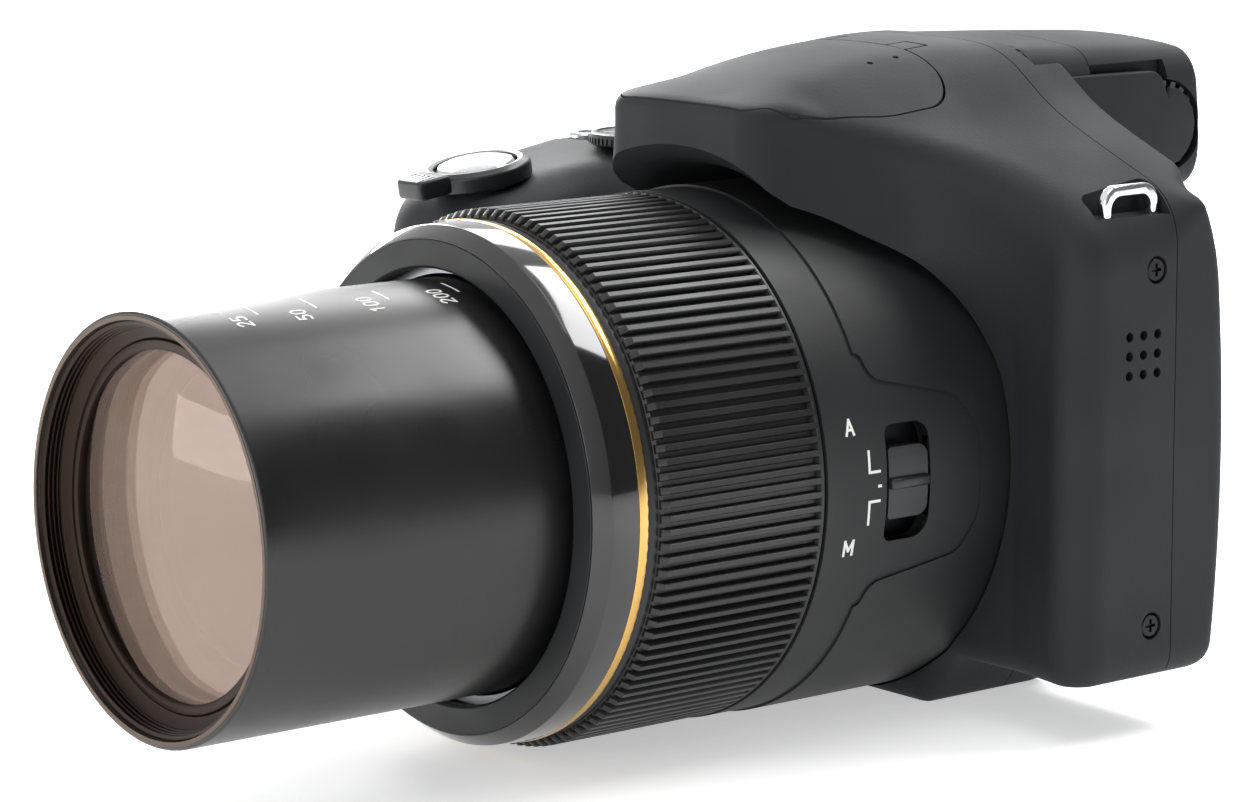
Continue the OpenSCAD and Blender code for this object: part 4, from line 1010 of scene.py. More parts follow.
@dataclass
class Body:
    """Front and rear shells with the hood, hump, left wing and hand grip."""

    wing_x: float = 49.0
    wing_z: float = 7.4
    plinth_x: float = 18.0
    shoulder_y: float = 8.0
    low_shoulder_y: float = 6.6
    edge_r: float = 5.0
    rear_r: float = 5.0
    hood_y: float = 33.0
    hood_r: float = 4.0
    hump_z: float = 87.5
    sweep_r: float = 30.0
    grip_x: float = 75.5
    grip_y: float = 31.0
    grip_inner_x: float = 46.0
    grip_out_r: float = 12.0
    grip_in_r: float = 7.0
    gap_r: float = 5.0
    wall: float = 2.2
    seam: float = 0.14
    lid_gap: float = 0.24
    cell: float = 0.7
    lid: bpy.types.Object | None = field(default=None, init=False)

    def grip_front(self) -> list[Point2]:
        """Front of the grip's plan, from its outer side to its inner side.

        Returns:
            Points of the two front corners.
        """
        outer = (self.grip_out_r - self.grip_x, self.grip_out_r - self.grip_y)
        inner = (-self.grip_inner_x - self.grip_in_r, self.grip_in_r - self.grip_y)
        return arc(outer, self.grip_out_r, 180, 270, 24) + arc(inner, self.grip_in_r, 270, 360, 20)

    def plans(self) -> tuple[PlanMap, PlanMap]:
        """Returns the plan at the hood's height and the plan behind the lens.

        Returns:
            Upper plan and lower plan.
        """
        w, e, r = self.wing_x, self.edge_r, self.rear_r
        centre = (w - e, -self.shoulder_y - self.sweep_r)
        rise = math.degrees(math.asin((self.shoulder_y + self.sweep_r + self.hood_r - self.hood_y)
                                      / (self.sweep_r + self.hood_r)))
        turn = 180 - rise
        hood = (centre[0] + (self.sweep_r + self.hood_r) * math.cos(math.radians(turn)),
                centre[1] + (self.sweep_r + self.hood_r) * math.sin(math.radians(turn)))
        gap_x = self.grip_inner_x - self.gap_r
        gap_a = math.degrees(math.acos((centre[0] - gap_x) / self.sweep_r))
        base_y = centre[1] + self.sweep_r * math.sin(math.radians(gap_a))
        back = (arc((w - e, e - self.shoulder_y), e, -90, 0, 16)
                + arc((w - 1.6, REAR_Y + 0.6), 1.6, 0, 90, 12)
                + arc((r - self.grip_x, REAR_Y - r), r, 90, 180, 12) + self.grip_front()
                + arc((-gap_x, base_y - self.gap_r), self.gap_r, 180, 90, 12))
        upper = (arc(hood, self.hood_r, -90, turn - 180, 12) + arc(centre, self.sweep_r, turn, 90, 48) + back
                 + arc((-centre[0], centre[1]), self.sweep_r, gap_a - 1, 180 - turn, 48)
                 + arc((-hood[0], hood[1]), self.hood_r, 360 - turn, 270, 12))
        lower = back + [(-34.0, -self.low_shoulder_y), (36.0, -self.low_shoulder_y)]
        low, high = (-80.0, -38.0), (54.0, 22.0)
        return PlanMap(upper, low, high), PlanMap(lower, low, high)

    def roof(self, x: np.ndarray, y: np.ndarray) -> np.ndarray:
        """Height of the top surface: hump, falling sides and the grip's sloping deck.

        Args:
            x: Places across.
            y: Places along the lens axis.

        Returns:
            Height at each place.
        """
        crown = self.hump_z - 6.4 * (np.maximum(0, 6 - y) / 39) ** 2
        pull = 3.4 * ease((12 - y) / 16) - 5.0 * ease((-22 - y) / 11)
        out = np.abs(x) + pull
        fall = 1.26 * np.log1p(np.exp((out - 16) / 3)) + 4.1 / (1 + np.exp((21.5 - out) / 2.6))
        top = crown - fall - 1.2 * np.maximum(0, -36 - x)
        deck = PLATE_Z + np.minimum(0, y) * math.tan(GRIP_TILT) - 1.5 * np.maximum(0, x + 30)
        return soft_max(top, deck, 4.0)

    def form(self) -> Callable[..., np.ndarray]:
        """Returns the signed distance of the whole outer body.

        Returns:
            Function of x, y and z arrays, negative inside.
        """
        upper, lower = self.plans()

        def distance(x: np.ndarray, y: np.ndarray, z: np.ndarray) -> np.ndarray:
            """Distance to the body, negative inside.

            Args:
                x: Places across.
                y: Places along the lens axis.
                z: Heights.

            Returns:
                Distance at each place.
            """
            near = ease((-y - 12) / 10) * ease((42 - np.abs(x)) / 16)
            flare = 1 - (0.04 + 0.08 * ease((78 - z) / 14)) * near
            share = ease((z - 45) / 18)
            plan = upper.at(x * flare, y) * share + lower.at(x, y) * (1 - share)
            bow = 0.0021 * (z - 36) ** 2 + 0.017 * np.maximum(0, z - 58.5) ** 2 - 1.2
            tail = y - REAR_Y + bow * ease((x - 40) / 7)
            plan = soft_max(plan, tail, 2.0)
            top = (z - self.roof(x, y)) * 0.92
            edge = 1.6 + 5.4 * ease((x - 16) / 30) * ease((16 - y) / 10) + 6.5 * ease((-x - 22) / 18)
            foot = (self.wing_z * ease((x - self.plinth_x + 1) / 7) - z) * 0.8
            return soft_max(soft_max(plan, top, edge), foot, 3.0)

        return distance

    def build(self) -> None:
        """Makes the shells, the grip's skin and the flash lid's blank."""
        form = self.form()
        low, high = (-79.0, -36.0, -3.0), (52.0, 21.0, 91.0)
        whole = net_surface("body_blank", form, low, high, self.cell)

        def hollow(x: np.ndarray, y: np.ndarray, z: np.ndarray) -> np.ndarray:
            """Room inside the shells behind the lens and in the grip."""
            room = np.minimum(-4.5 - y, x + 48.5)
            return np.maximum(np.maximum(form(x, y, z) + self.wall, room), z - 64.8)

        room = net_surface("body_room", hollow, low, high, 1.6)
        skin = self.grip_skin(whole, form)
        carve(whole, room)
        carve(whole, lathe("lens_hole", [
            (0, -80), (40.6, -80), (40.6, -33.2), (39.0, -31.2), (37.8, -28.5), (37.0, -20), (36.6, -14.5),
            (36.1, -11), (35.6, -8.7), (HOLE_R, -7.6), (HOLE_R, -4.0), (0, -4.0)]))
        self.lid = twin(whole, "flash_lid_blank")
        front, rear = whole, twin(whole, "rear_shell_skin")
        front.name = "front_shell_skin"
        carve(front, block("half", (-90, SEAM_Y - self.seam / 2, -10), (90, 60, 110)))
        carve(rear, block("half", (-90, -60, -10), (90, SEAM_Y + self.seam / 2, 110)))
        self.cut_front(front)
        self.cut_rear(rear)
        finish_piece(front, SHELL_ABS, "camera", ["front_shell"])
        finish_piece(rear, SHELL_ABS, "camera", ["rear_shell"])
        finish_piece(skin, GRIP_RUBBER, "camera", ["grip_rubber"])

    def grip_skin(self, whole: bpy.types.Object, form: Callable[..., np.ndarray]) -> bpy.types.Object:
        """Cuts the grip's rubber skin out of the body.

        Args:
            whole: The outer body, which loses the skin's room.
            form: Signed distance of the body.

        Returns:
            The skin.
        """
        def core(x: np.ndarray, y: np.ndarray, z: np.ndarray) -> np.ndarray:
            """Core of the grip under the skin."""
            return np.maximum(form(x, y, z) + 1.2, np.maximum(y + 6, x + 43))

        outline = round_box(46.0, 46.0, 5.0, (-69.0, 30.0))
        patch = extrude("skin_patch", outline, Axis.Y, -60.0, -13.0)
        under = net_surface("grip_core", core, (-79.0, -36.0, -3.0), (-40.0, 0.0, 72.0), 1.2)
        carve(patch, under)
        skin = twin(whole, "grip_skin")
        carve(skin, patch, Cut.KEEP, keep=True)
        carve(whole, patch)
        return skin

    def lid_outline(self, grow: float) -> list[Point2]:
        """Outline of the flash lid in plan, grown by a gap: wide at the rear, narrow at the front.

        Args:
            grow: Gap that is added all round.

        Returns:
            Points of the outline.
        """
        g = grow
        half = [(20.9 + g, -2.4 + g, 5.5), (20.4 + g, -14.4, 18.0), (15.8 + g, -29.0, 9.0),
                (12.8, -32.3 - g, 3.0)]
        mirrored = [(-x, y, r) for x, y, r in reversed(half)]
        return rounded(half + mirrored, 12)

    def cut_front(self, shell: bpy.types.Object) -> None:
        """Opens the front shell for the lid, loops, doors, screws, keys and speaker.

        Args:
            shell: The front shell.
        """
        carve(shell, extrude("well", self.lid_outline(self.lid_gap), Axis.Z, 78.1, 110.0))
        carve(shell, extrude("tube_room", round_box(25.0, 24.0, 2.0, (0.0, -17.4)), Axis.Z, 74.5, 79.0))
        for low, high in ((-9.8, -5.7), (5.7, 9.8)):
            carve(shell, rod("hinge_room", Axis.X, LID_PIN, 2.9, low, high))
        for side, inner, floor in ((1, 43.0, 67.6), (-1, 70.6, 60.6)):
            pocket = rounded([(inner * side, -3.1, 1.4), (90 * side, -3.1, 0), (90 * side, 8.7, 0),
                              (inner * side, 8.7, 1.4)])
            carve(shell, extrude("loop_pocket", pocket, Axis.Z, floor, 110.0))
        hole = rod("speaker_hole", Axis.X, (0.7, 47.6), 0.65, 44.0, 52.0, 20)
        repeat(hole, SHELL_ABS, 3, (48.0, 0.7, 47.6), step=(0, 2.5, 0))
        repeat(hole, SHELL_ABS, 3, (48.0, 0.7, 47.6), step=(0, 0, 2.5))
        carve(shell, hole)
        seat = rod("screw_seat", Axis.X, SIDE_SCREW, 1.8, 48.15, 52.0, 32)
        repeat(seat, SHELL_ABS, 2, (48.0, *SIDE_SCREW), step=(0, 0, SIDE_SCREW_RISE))
        carve(shell, seat)
        carve(shell, block("plate_seat", (-36.1, -4.1, -5), (16.1, 7.6, 1.2)))
        carve(shell, block("battery_opening", (-71.8, -20.3, -5), (-47.0, 7.3, 4.0)))
        carve(shell, block("port_seat", (-90, -1.3, 25.7), (-73.7, 7.9, 46.3)))
        carve(shell, block("port_window", (-90, 0.4, 29.0), (-70.0, 6.2, 43.0)))
        shutter = rod("shutter_hole", Axis.Z, (0.0, 0.0), 2.3, -6.0, 12.0)
        shift(shutter, Controls.shutter_place())
        carve(shell, shutter)
        carve(shell, rod("dial_seat", Axis.Z, DIAL_PLACE, 9.3, PLATE_Z - 0.2, 90))
        carve(shell, rod("dial_hole", Axis.Z, DIAL_PLACE, 2.1, PLATE_Z - 6.0, 90))
        carve(shell, rod("power_hole", Axis.Z, POWER_PLACE, 3.1, PLATE_Z - 6.0, 90))

    def cut_rear(self, shell: bpy.types.Object) -> None:
        """Opens the rear shell for the finder, screen, keys and dial.

        Args:
            shell: The rear shell.
        """
        carve(shell, block("finder_room", (-15.4, 0, 66.5), (15.4, 60, 81.3)))
        carve(shell, block("cap_seat", (-19.4, 12.0, 83.0), (19.4, 60, 110)))
        screen = round_box(63.2, 47.2, 1.6, SCREEN_PLACE)
        carve(shell, extrude("screen_opening", screen, Axis.Y, 0, 60))
        for x, z in KEY_PLACES.values():
            carve(shell, rod("key_hole", Axis.Y, (x, z), KEY_R + 0.25, 0, 60, 40))
        carve(shell, rod("pad_hole", Axis.Y, PAD_PLACE, PAD_R + 0.25, 0, 60))
        carve(shell, rod("dial_seat", Axis.Z, DIAL_PLACE, 9.3, PLATE_Z - 0.2, 90))


@dataclass
class FlashLid:
    """Pop-up lid on the hood, with its hinge knuckles and microphone holes."""

    floor_z: float = 78.4
    frame_z: float = 77.5
    pin: Point2 = LID_PIN
    pin_r: float = 0.9
    hinge_r: float = 2.6

    def build(self, body: Body) -> None:
        """Cuts the lid out of the body's own surface.

        Args:
            body: Body that holds the lid's blank.
        """
        lid = body.lid
        lid.name = "flash_lid_skin"
        shape = extrude("lid_shape", body.lid_outline(0.0), Axis.Z, self.floor_z, 110.0)
        frame = extrude("tube_frame", round_box(23.0, 22.6, 2.0, (0.0, -17.6)), Axis.Z, self.frame_z, 80.0)
        carve(shape, frame, Cut.JOIN)
        for half, high in ((12.6, 85.7), (9.4, 86.15)):
            carve(shape, block("rear_relief", (-half, -3.2, 76.0), (half, -1.0, high), 0.2))
        for low, high in ((-9.5, -6.0), (6.0, 9.5)):
            carve(shape, rod("hinge", Axis.X, self.pin, self.hinge_r, low, high), Cut.JOIN)
        carve(lid, shape, Cut.KEEP)
        carve(lid, rod("pin_bore", Axis.X, self.pin, self.pin_r, -40, 40, 24))
        hole = rod("microphone_hole", Axis.Z, (-11.5, -10.0), 0.42, 80.0, 95.0, 16)
        repeat(hole, SHELL_ABS, 2, (-11.5, -10.0, 80.0), step=(23.0, 0, 0))
        repeat(hole, SHELL_ABS, 2, (-11.5, -10.0, 80.0), step=(0, 4.5, 0))
        carve(lid, hole)
        finish_piece(lid, SHELL_ABS, "flash", ["flash_lid"])


@dataclass
class Lens:
    """Fixed barrel, control ring, nose ring, zoom barrel and the glass in it."""

    barrel_r: float = 34.9
    ring_r: float = 34.4
    rib_root: float = 33.5
    ribs: int = 124
    zoom_r: float = 26.4

    def build(self) -> None:
        """Makes every ring of the lens from the rear to the front."""
        self.fixed_barrel()
        self.control_ring()
        self.nose()
        self.zoom_barrel()
        self.glass()
        self.marks()

    def tab_outline(self, grow: float) -> list[Point2]:
        """Side view outline, in y and z, of the recessed tab round the focus switch.

        Args:
            grow: Gap that is added all round.

        Returns:
            Points of the outline.
        """
        g = grow
        return rounded([(-29.0 - g, 51.5 + g, 1.0), (-28.0, 48.3 + g, 2.5), (-14.8 + g, 45.2 + g, 3.2),
                        (-11.6 + g, 40.5, 4.0), (-11.4 + g, 29.0, 4.0), (-14.0 + g, 24.4 - g, 3.2),
                        (-28.2, 22.0 - g, 2.5), (-29.0 - g, 19.0 - g, 1.0), (-34.0, 19.0 - g, 0),
                        (-34.0, 51.5 + g, 0)])

    def fixed_barrel(self) -> None:
        """Makes the fixed barrel with its recessed front band, and the switch in its slot."""
        r = self.barrel_r
        barrel = lathe("fixed_barrel_tube", rounded([
            (r - 2.4, -5.0, 0), (r, -5.0, 0.2), (r, -37.2, 0.35), (31.2, -37.2, 0), (31.2, -35.2, 0),
            (r - 2.4, -32.8, 0)]))
        band = lathe("front_band", [(r - 0.3, -29.8), (r + 5, -29.8), (r + 5, -40), (r - 0.3, -40)])
        tab = extrude("tab", self.tab_outline(0.0), Axis.X, 20.0, 60.0)
        shell = lathe("tab_depth", [(r - 0.3, -5), (r + 5, -5), (r + 5, -40), (r - 0.3, -40)])
        carve(tab, shell, Cut.KEEP)
        carve(barrel, band)
        carve(barrel, tab)
        slot = extrude("slot", rounded([(-27.4, 27.5, 1.2), (-20.0, 27.5, 2.6), (-20.0, 42.5, 2.2),
                                        (-27.4, 42.5, 1.2)]), Axis.X, 20.0, 60.0)
        plate = lathe("switch_plate", [(r - 1.6, -12), (r - 0.45, -12), (r - 0.45, -29.6), (r - 1.6, -29.6)])
        edge = extrude("plate_edge", round_box(17.2, 24.6, 3.0, (-20.7, 35.0)), Axis.X, 20.0, 60.0)
        carve(plate, edge, Cut.KEEP)
        carve(plate, slot, keep=True)
        carve(barrel, slot)
        finish_piece(barrel, BARREL_PC, "camera", ["fixed_barrel"])
        finish_piece(plate, BARREL_PC, "camera", ["switch_panel"])
        slider = lathe("focus_slider",
                       [(r - 2.1, -20.4), (r - 0.35, -20.4), (r - 0.35, -27.0), (r - 2.1, -27.0)])
        shape = extrude("slider_edge", rounded([(-27.05, 30.4, 0.6), (-20.35, 30.4, 1.6), (-20.35, 39.6, 1.6),
                                                (-27.05, 39.6, 0.6)]), Axis.X, 20.0, 60.0)
        carve(slider, shape, Cut.KEEP)
        carve(slider, block("grip_bar", (r - 1.5, -27.0, 34.3), (r + 0.45, -20.4, 35.7), 0.3), Cut.JOIN)
        finish_piece(slider, KEY_ABS, "focus_switch", ["focus_switch"])

    def control_ring(self) -> None:
        """Makes the ribbed ring: a turned sleeve with copies of one rib round it."""
        root, top = self.rib_root, self.ring_r
        sleeve = lathe("control_ring_sleeve", rounded([
            (31.1, -64.3, 0), (32.6, -64.3, 0.3), (33.0, -63.6, 0.2), (33.0, -63.0, 0), (root, -62.7, 0),
            (root, -38.3, 0), (top, -38.0, 0.2), (top, -37.5, 0.2), (31.1, -37.5, 0)]), 248)
        pitch = 2 * math.pi / self.ribs
        wide, narrow = 0.34, 0.24
        section = [(-wide, root - 0.3), (-wide, root), (-narrow, top - 0.12), (-narrow + 0.06, top),
                   (narrow - 0.06, top), (narrow, top - 0.12), (wide, root), (wide, root - 0.3)]
        stations = [(-63.0, 0.35), (-62.2, 1.0), (-38.0, 1.0)]
        points = []
        for y, lift in stations:
            for share, r in section:
                reach = root - 0.3 + (r - root + 0.3) * lift
                points.append((reach * math.sin(share * pitch), y, LENS_Z + reach * math.cos(share * pitch)))
        n = len(section)
        faces = [[k * n + i, k * n + (i + 1) % n, (k + 1) * n + (i + 1) % n, (k + 1) * n + i]
                 for k in range(len(stations) - 1) for i in range(n)]
        faces += [list(range(n)), list(range(2 * n, 3 * n))]
        rib = mesh_object("control_ring_rib", points, faces)
        repeat(rib, RIB_PC, self.ribs, (0.0, 0.0, LENS_Z), turn=(0.0, pitch, 0.0))
        join(sleeve, rib)
        finish_piece(sleeve, RIB_PC, "control_ring", ["control_ring"])

    def nose(self) -> None:
        """Makes the lacquered nose ring, its satin face and the gold trim."""
        ring = lathe("nose_ring_lacquer", rounded([
            (30.9, -64.7, 0), (32.1, -64.7, 0), (32.1, -66.0, 0), (33.25, -66.05, 0.12), (33.0, -69.9, 0.35),
            (31.4, -72.0, 0.25), (31.2, -71.6, 0), (30.9, -71.4, 0)]))
        finish_piece(ring, NOSE_LACQUER, "camera", ["nose_ring"])
        face = lathe("nose_face", rounded([
            (28.8, -69.9, 0), (31.15, -69.9, 0), (31.3, -72.0, 0.1), (28.0, -72.1, 0.25), (27.7, -71.8, 0),
            (27.7, -70.3, 0.2), (28.8, -70.1, 0)]))
        finish_piece(face, BARREL_PC, "camera")
        gold = lathe("gold_trim", rounded([
            (32.2, -64.6, 0), (33.2, -64.6, 0.15), (33.35, -65.3, 0), (33.2, -66.0, 0.1), (32.2, -66.0, 0)]))
        finish_piece(gold, GOLD_ANODISED, "camera", ["gold_ring"])

    def zoom_barrel(self) -> None:
        """Makes the painted zoom barrel and the threaded cell in its mouth."""
        tube = lathe("zoom_barrel_tube", rounded([
            (25.0, -50.2, 0), (self.zoom_r, -50.2, 0), (self.zoom_r, -114.9, 0.4), (25.35, -114.9, 0.1),
            (25.2, -114.2, 0), (25.0, -113.6, 0)]))
        finish_piece(tube, PAINTED_TUBE, "zoom", ["zoom_barrel"])
        rim = lathe("front_rim", rounded([(25.3, -114.4, 0), (25.95, -114.4, 0), (25.95, -115.0, 0.1),
                                          (25.3, -115.0, 0.1)]))
        finish_piece(rim, RIM_ANODISED, "zoom")
        thread: list[Point3] = []
        for i in range(4):
            y = -114.3 + 0.55 * i
            r = 25.05 - 0.13 * i
            thread += [(r, y, 0.05), (r - 0.42, y + 0.12, 0.08), (r - 0.42, y + 0.3, 0.08),
                       (r, y + 0.42, 0.05)]
        cell = lathe("front_cell_ring", rounded(
            [(18.6, -101.0, 0), (24.6, -101.0, 0), (24.6, -110.0, 0), (25.15, -110.4, 0), (25.15, -114.4, 0)]
            + thread + [(24.2, -111.9, 0.1), (22.9, -111.2, 0.1), (22.6, -111.45, 0.12), (21.9, -111.5, 0.15),
                        (21.45, -111.3, 0.1), (21.4, -110.9, 0), (21.7, -110.8, 0), (21.7, -101.5, 0),
                        (18.6, -101.3, 0)], 3))
        finish_piece(cell, CELL_ANODISED, "zoom", ["front_cell"])

    def element(self, name: str, radius: float, faces: tuple[Point2, Point2], films: tuple[Coating, Coating],
                replaces: Sequence[str] = ()) -> None:
        """Makes one element of the front group, its edge blackened.

        Args:
            name: Name of the piece.
            radius: Radius of the element.
            faces: y of the edge and height of the curve, forwards, of the front face and of the rear face.
            films: Coating of the front face and of the rear face.
            replaces: Solids that it stands for.
        """
        steps = 28
        (front, bow), (rear, hollow) = faces
        outline = [(radius * i / steps, front - bow * (1 - (i / steps) ** 2)) for i in range(steps + 1)]
        outline += [(radius * i / steps, rear - hollow * (1 - (i / steps) ** 2))
                    for i in range(steps, -1, -1)]
        made = lathe(name, outline, 160)
        finish_piece(made, INNER_BLACK, "zoom", replaces)
        for film in films:
            made.data.materials.append(film.material())
        for face in made.data.polygons:
            if abs(face.normal.y) > 0.5:
                face.material_index = 1 if face.normal.y < 0 else 2

    def marks(self) -> None:
        """Prints the zoom scale along the barrel's top and the signs round the focus switch."""
        def on_zoom(u: float, v: float, h: float) -> Point3:
            """Place on the zoom barrel: u runs forwards, v over the top to the camera's left.

            Args:
                u: First direction on the surface.
                v: Second direction.
                h: Height above the surface.

            Returns:
                x, y and z.
            """
            turn = math.radians(82) - v / self.zoom_r
            reach = self.zoom_r + h
            return reach * math.cos(turn), -u, LENS_Z + reach * math.sin(turn)

        def on_panel(u: float, v: float, h: float) -> Point3:
            """Place on the fixed barrel's left side: u runs backwards, v up.

            Args:
                u: First direction on the surface.
                v: Second direction.
                h: Height above the surface.

            Returns:
                x, y and z.
            """
            turn = v / self.barrel_r
            reach = self.barrel_r - 0.3 + h
            return reach * math.cos(turn), u, LENS_Z + reach * math.sin(turn)

        lines: list[list[Point2]] = []
        for text, station in (("25", 102.4), ("50", 94.0), ("100", 83.4), ("200", 72.9)):
            lines += [[(station, -1.0), (station, 2.6)]]
            lines += [[(station + 2.2 + up, 5.4 - along) for along, up in stroke]
                      for stroke in signs(text, 1.9, (0.0, 0.0))]
        scale = print_marks("zoom_scale", lines, 0.28, on_zoom)
        finish_piece(scale, WHITE_INK, "zoom")
        lines = [[(-30.3, 4.6), (-30.3, 1.9), (-28.6, 1.9)], [(-30.3, -4.8), (-30.3, -1.9), (-28.6, -1.9)]]
        lines += [[(-28.75, 0.0), (-28.45, 0.0)]]
        lines += signs("A", 1.9, (-33.6, 7.0)) + signs("M", 1.9, (-33.8, -8.6))
        switch = print_marks("switch_signs", lines, 0.36, on_panel)
        finish_piece(switch, WHITE_INK, "camera")

    def glass(self) -> None:
        """Makes the four elements of the front group and the dark sleeve behind them."""
        self.element("front_lens", 21.42, ((-111.15, 2.3), (-110.9, -0.4)), (FRONT_FACE, FIRST_BACK),
                     ["front_element"])
        self.element("doublet_front", 21.6, ((-110.1, -0.2), (-108.4, -0.2)), (SECOND_FACE, SECOND_BACK))
        self.element("doublet_rear", 21.6, ((-107.7, -0.2), (-104.7, 2.5)), (THIRD_FACE, THIRD_BACK))
        self.element("second_lens", 20.6, ((-104.1, 0.6), (-101.6, -0.8)), (SECOND_FACE, SECOND_BACK),
                     ["second_element"])
        sleeve = lathe("front_sleeve", rounded([
            (16.6, -101.2, 0.2), (18.5, -101.2, 0), (18.5, -97.0, 0.3), (16.0, -97.0, 0.3)], 3), 160)
        finish_piece(sleeve, CELL_ANODISED, "zoom")


@dataclass
class Finder:
    """Eye-level finder: housing, cap with its flange, eyepiece and dioptre wheel."""

    inner: float = 17.4
    low_z: float = 64.5
    top_z: float = 87.5
    flange_y: float = 37.3
    rear_y: float = 43.5
    wheel: Point3 = (17.8, 36.9, 74.6)
    wheel_r: float = 6.4
    teeth: int = 20
    eye_z: float = 75.0

    def form(self, x: np.ndarray, y: np.ndarray, z: np.ndarray) -> np.ndarray:
        """Signed distance of the crowned outer form that cap, collar and flange share.

        Args:
            x: Places across.
            y: Places along the lens axis.
            z: Heights.

        Returns:
            Distance at each place.
        """
        reach = np.clip((y - 12) / 31.5, 0, 1)
        top = self.top_z - 0.05 - 1.35 * reach ** 1.2 - 0.0042 * x * x
        side = np.abs(x) - np.minimum(19.95, 19.1 + 0.1 * np.maximum(0, 83.5 - z))
        shape = soft_max(soft_max(side, z - top, 4.5), 65.5 - z, 6.0)
        return soft_max(np.maximum(shape, 12.2 - y), y - self.rear_y, 1.2)

    def build(self) -> None:
        """Makes the housing, the cap and the wheel."""
        _, y, z = self.wheel
        blank = net_surface("finder_blank", self.form, (-23, 9, 62), (23, 46, 90), 0.6)
        cap = twin(blank, "finder_cap_shell")
        carve(cap, block("under", (-30, 0, 50), (30, self.flange_y, 83.7)))
        carve(cap, block("ahead", (-30, 0, 50), (30, 23.0, 100)))
        carve(cap, block("eye_way", (-8.5, 0, 69.5), (8.5, 60, 80.5)))
        carve(cap, rod("wheel_room", Axis.X, (y, z), self.wheel_r + 0.05, 17.3, 60, 64))
        finish_piece(cap, SHELL_ABS, "camera", ["finder_cap"])
        collar = blank
        collar.name = "finder_collar"
        carve(collar, block("keep", (-30, 12.1, 82.2), (30, 22.85, 100)), Cut.KEEP)
        side = rounded([(-self.inner, self.low_z, 2.5), (self.inner, self.low_z, 2.5),
                        (self.inner, 83.6, 0), (-self.inner, 83.6, 0)])
        housing = extrude("finder_core", side, Axis.Y, REAR_Y - 2.0, self.flange_y - 0.05)
        outline = (rounded([(37.0, 79.0, 0), (35.6, 82.3, 2.6), (15.6, 82.5, 0), (15.6, 66.5, 0),
                            (36.2, 66.5, 2.0)], 8)
                   + arc((y, z), 5.5, -84, 84, 28))
        pod = extrude("finder_pod", outline, Axis.X, 10.0, 19.8)
        soften(pod, 1.5, 5, 50)
        carve(housing, pod, Cut.JOIN)
        carve(housing, collar, Cut.JOIN, keep=True)
        carve(housing, rod("wheel_room", Axis.X, (y, z), self.wheel_r + 0.05, 17.5, 19.15, 64))
        carve(housing, block("eye_room", (-15.0, 0, 66.7), (15.0, self.flange_y - 2, 81.0)))
        carve(housing, block("eye_way", (-8.5, 0, 69.5), (8.5, 60, 80.5)))
        drop(collar)
        housing.name = "finder_housing_shell"
        finish_piece(housing, SHELL_ABS, "camera", ["finder_housing"])
        self.dioptre()
        self.eyepiece()

    def eyepiece(self) -> None:
        """Makes the eyepiece frame with a flared mouth and the lens in it."""
        z = self.eye_z
        frame = extrude("eyepiece_surround", round_box(16.9, 10.9, 1.2, (0.0, z)), Axis.Y, self.flange_y,
                        self.rear_y - 0.8)
        soften(frame, 0.3, 2, 50)
        carve(frame, lathe("eye_hole",
                           [(0, 0), (4.65, 0), (4.65, 41.5), (4.0, 41.6), (4.0, 41.9), (5.0, 43.0), (5.0, 60),
                            (0, 60)], 64, (0.0, z)))
        finish_piece(frame, KEY_ABS, "camera", ["eyepiece_frame"])
        dome = [(4.6 * i / 12, 41.4 - 0.9 * (i / 12) ** 2) for i in range(13)]
        lens = lathe("eyepiece_glass", [(0.0, 38.5), (4.6, 38.5)] + dome[::-1], 64, (0.0, z))
        finish_piece(lens, WINDOW_ACRYLIC, "camera", ["eyepiece_lens"])

    def dioptre(self) -> None:
        """Makes the dioptre wheel: a disc with copies of one tooth round it."""
        x, y, z = self.wheel
        top = self.wheel_r - 0.2
        disc = rod("dioptre_disc", Axis.X, (y, z), top - 0.85, x, x + 1.2, 96)
        tooth = extrude("dioptre_tooth", [(y - 0.5, z + 5.3), (y + 0.5, z + 5.3), (y + 0.44, z + top),
                                          (y - 0.44, z + top)], Axis.X, x, x + 1.2)
        repeat(tooth, KEY_ABS, self.teeth, (0.0, y, z), turn=(2 * math.pi / self.teeth, 0.0, 0.0))
        join(disc, tooth)
        finish_piece(disc, KEY_ABS, "dioptre", ["dioptre_wheel"])


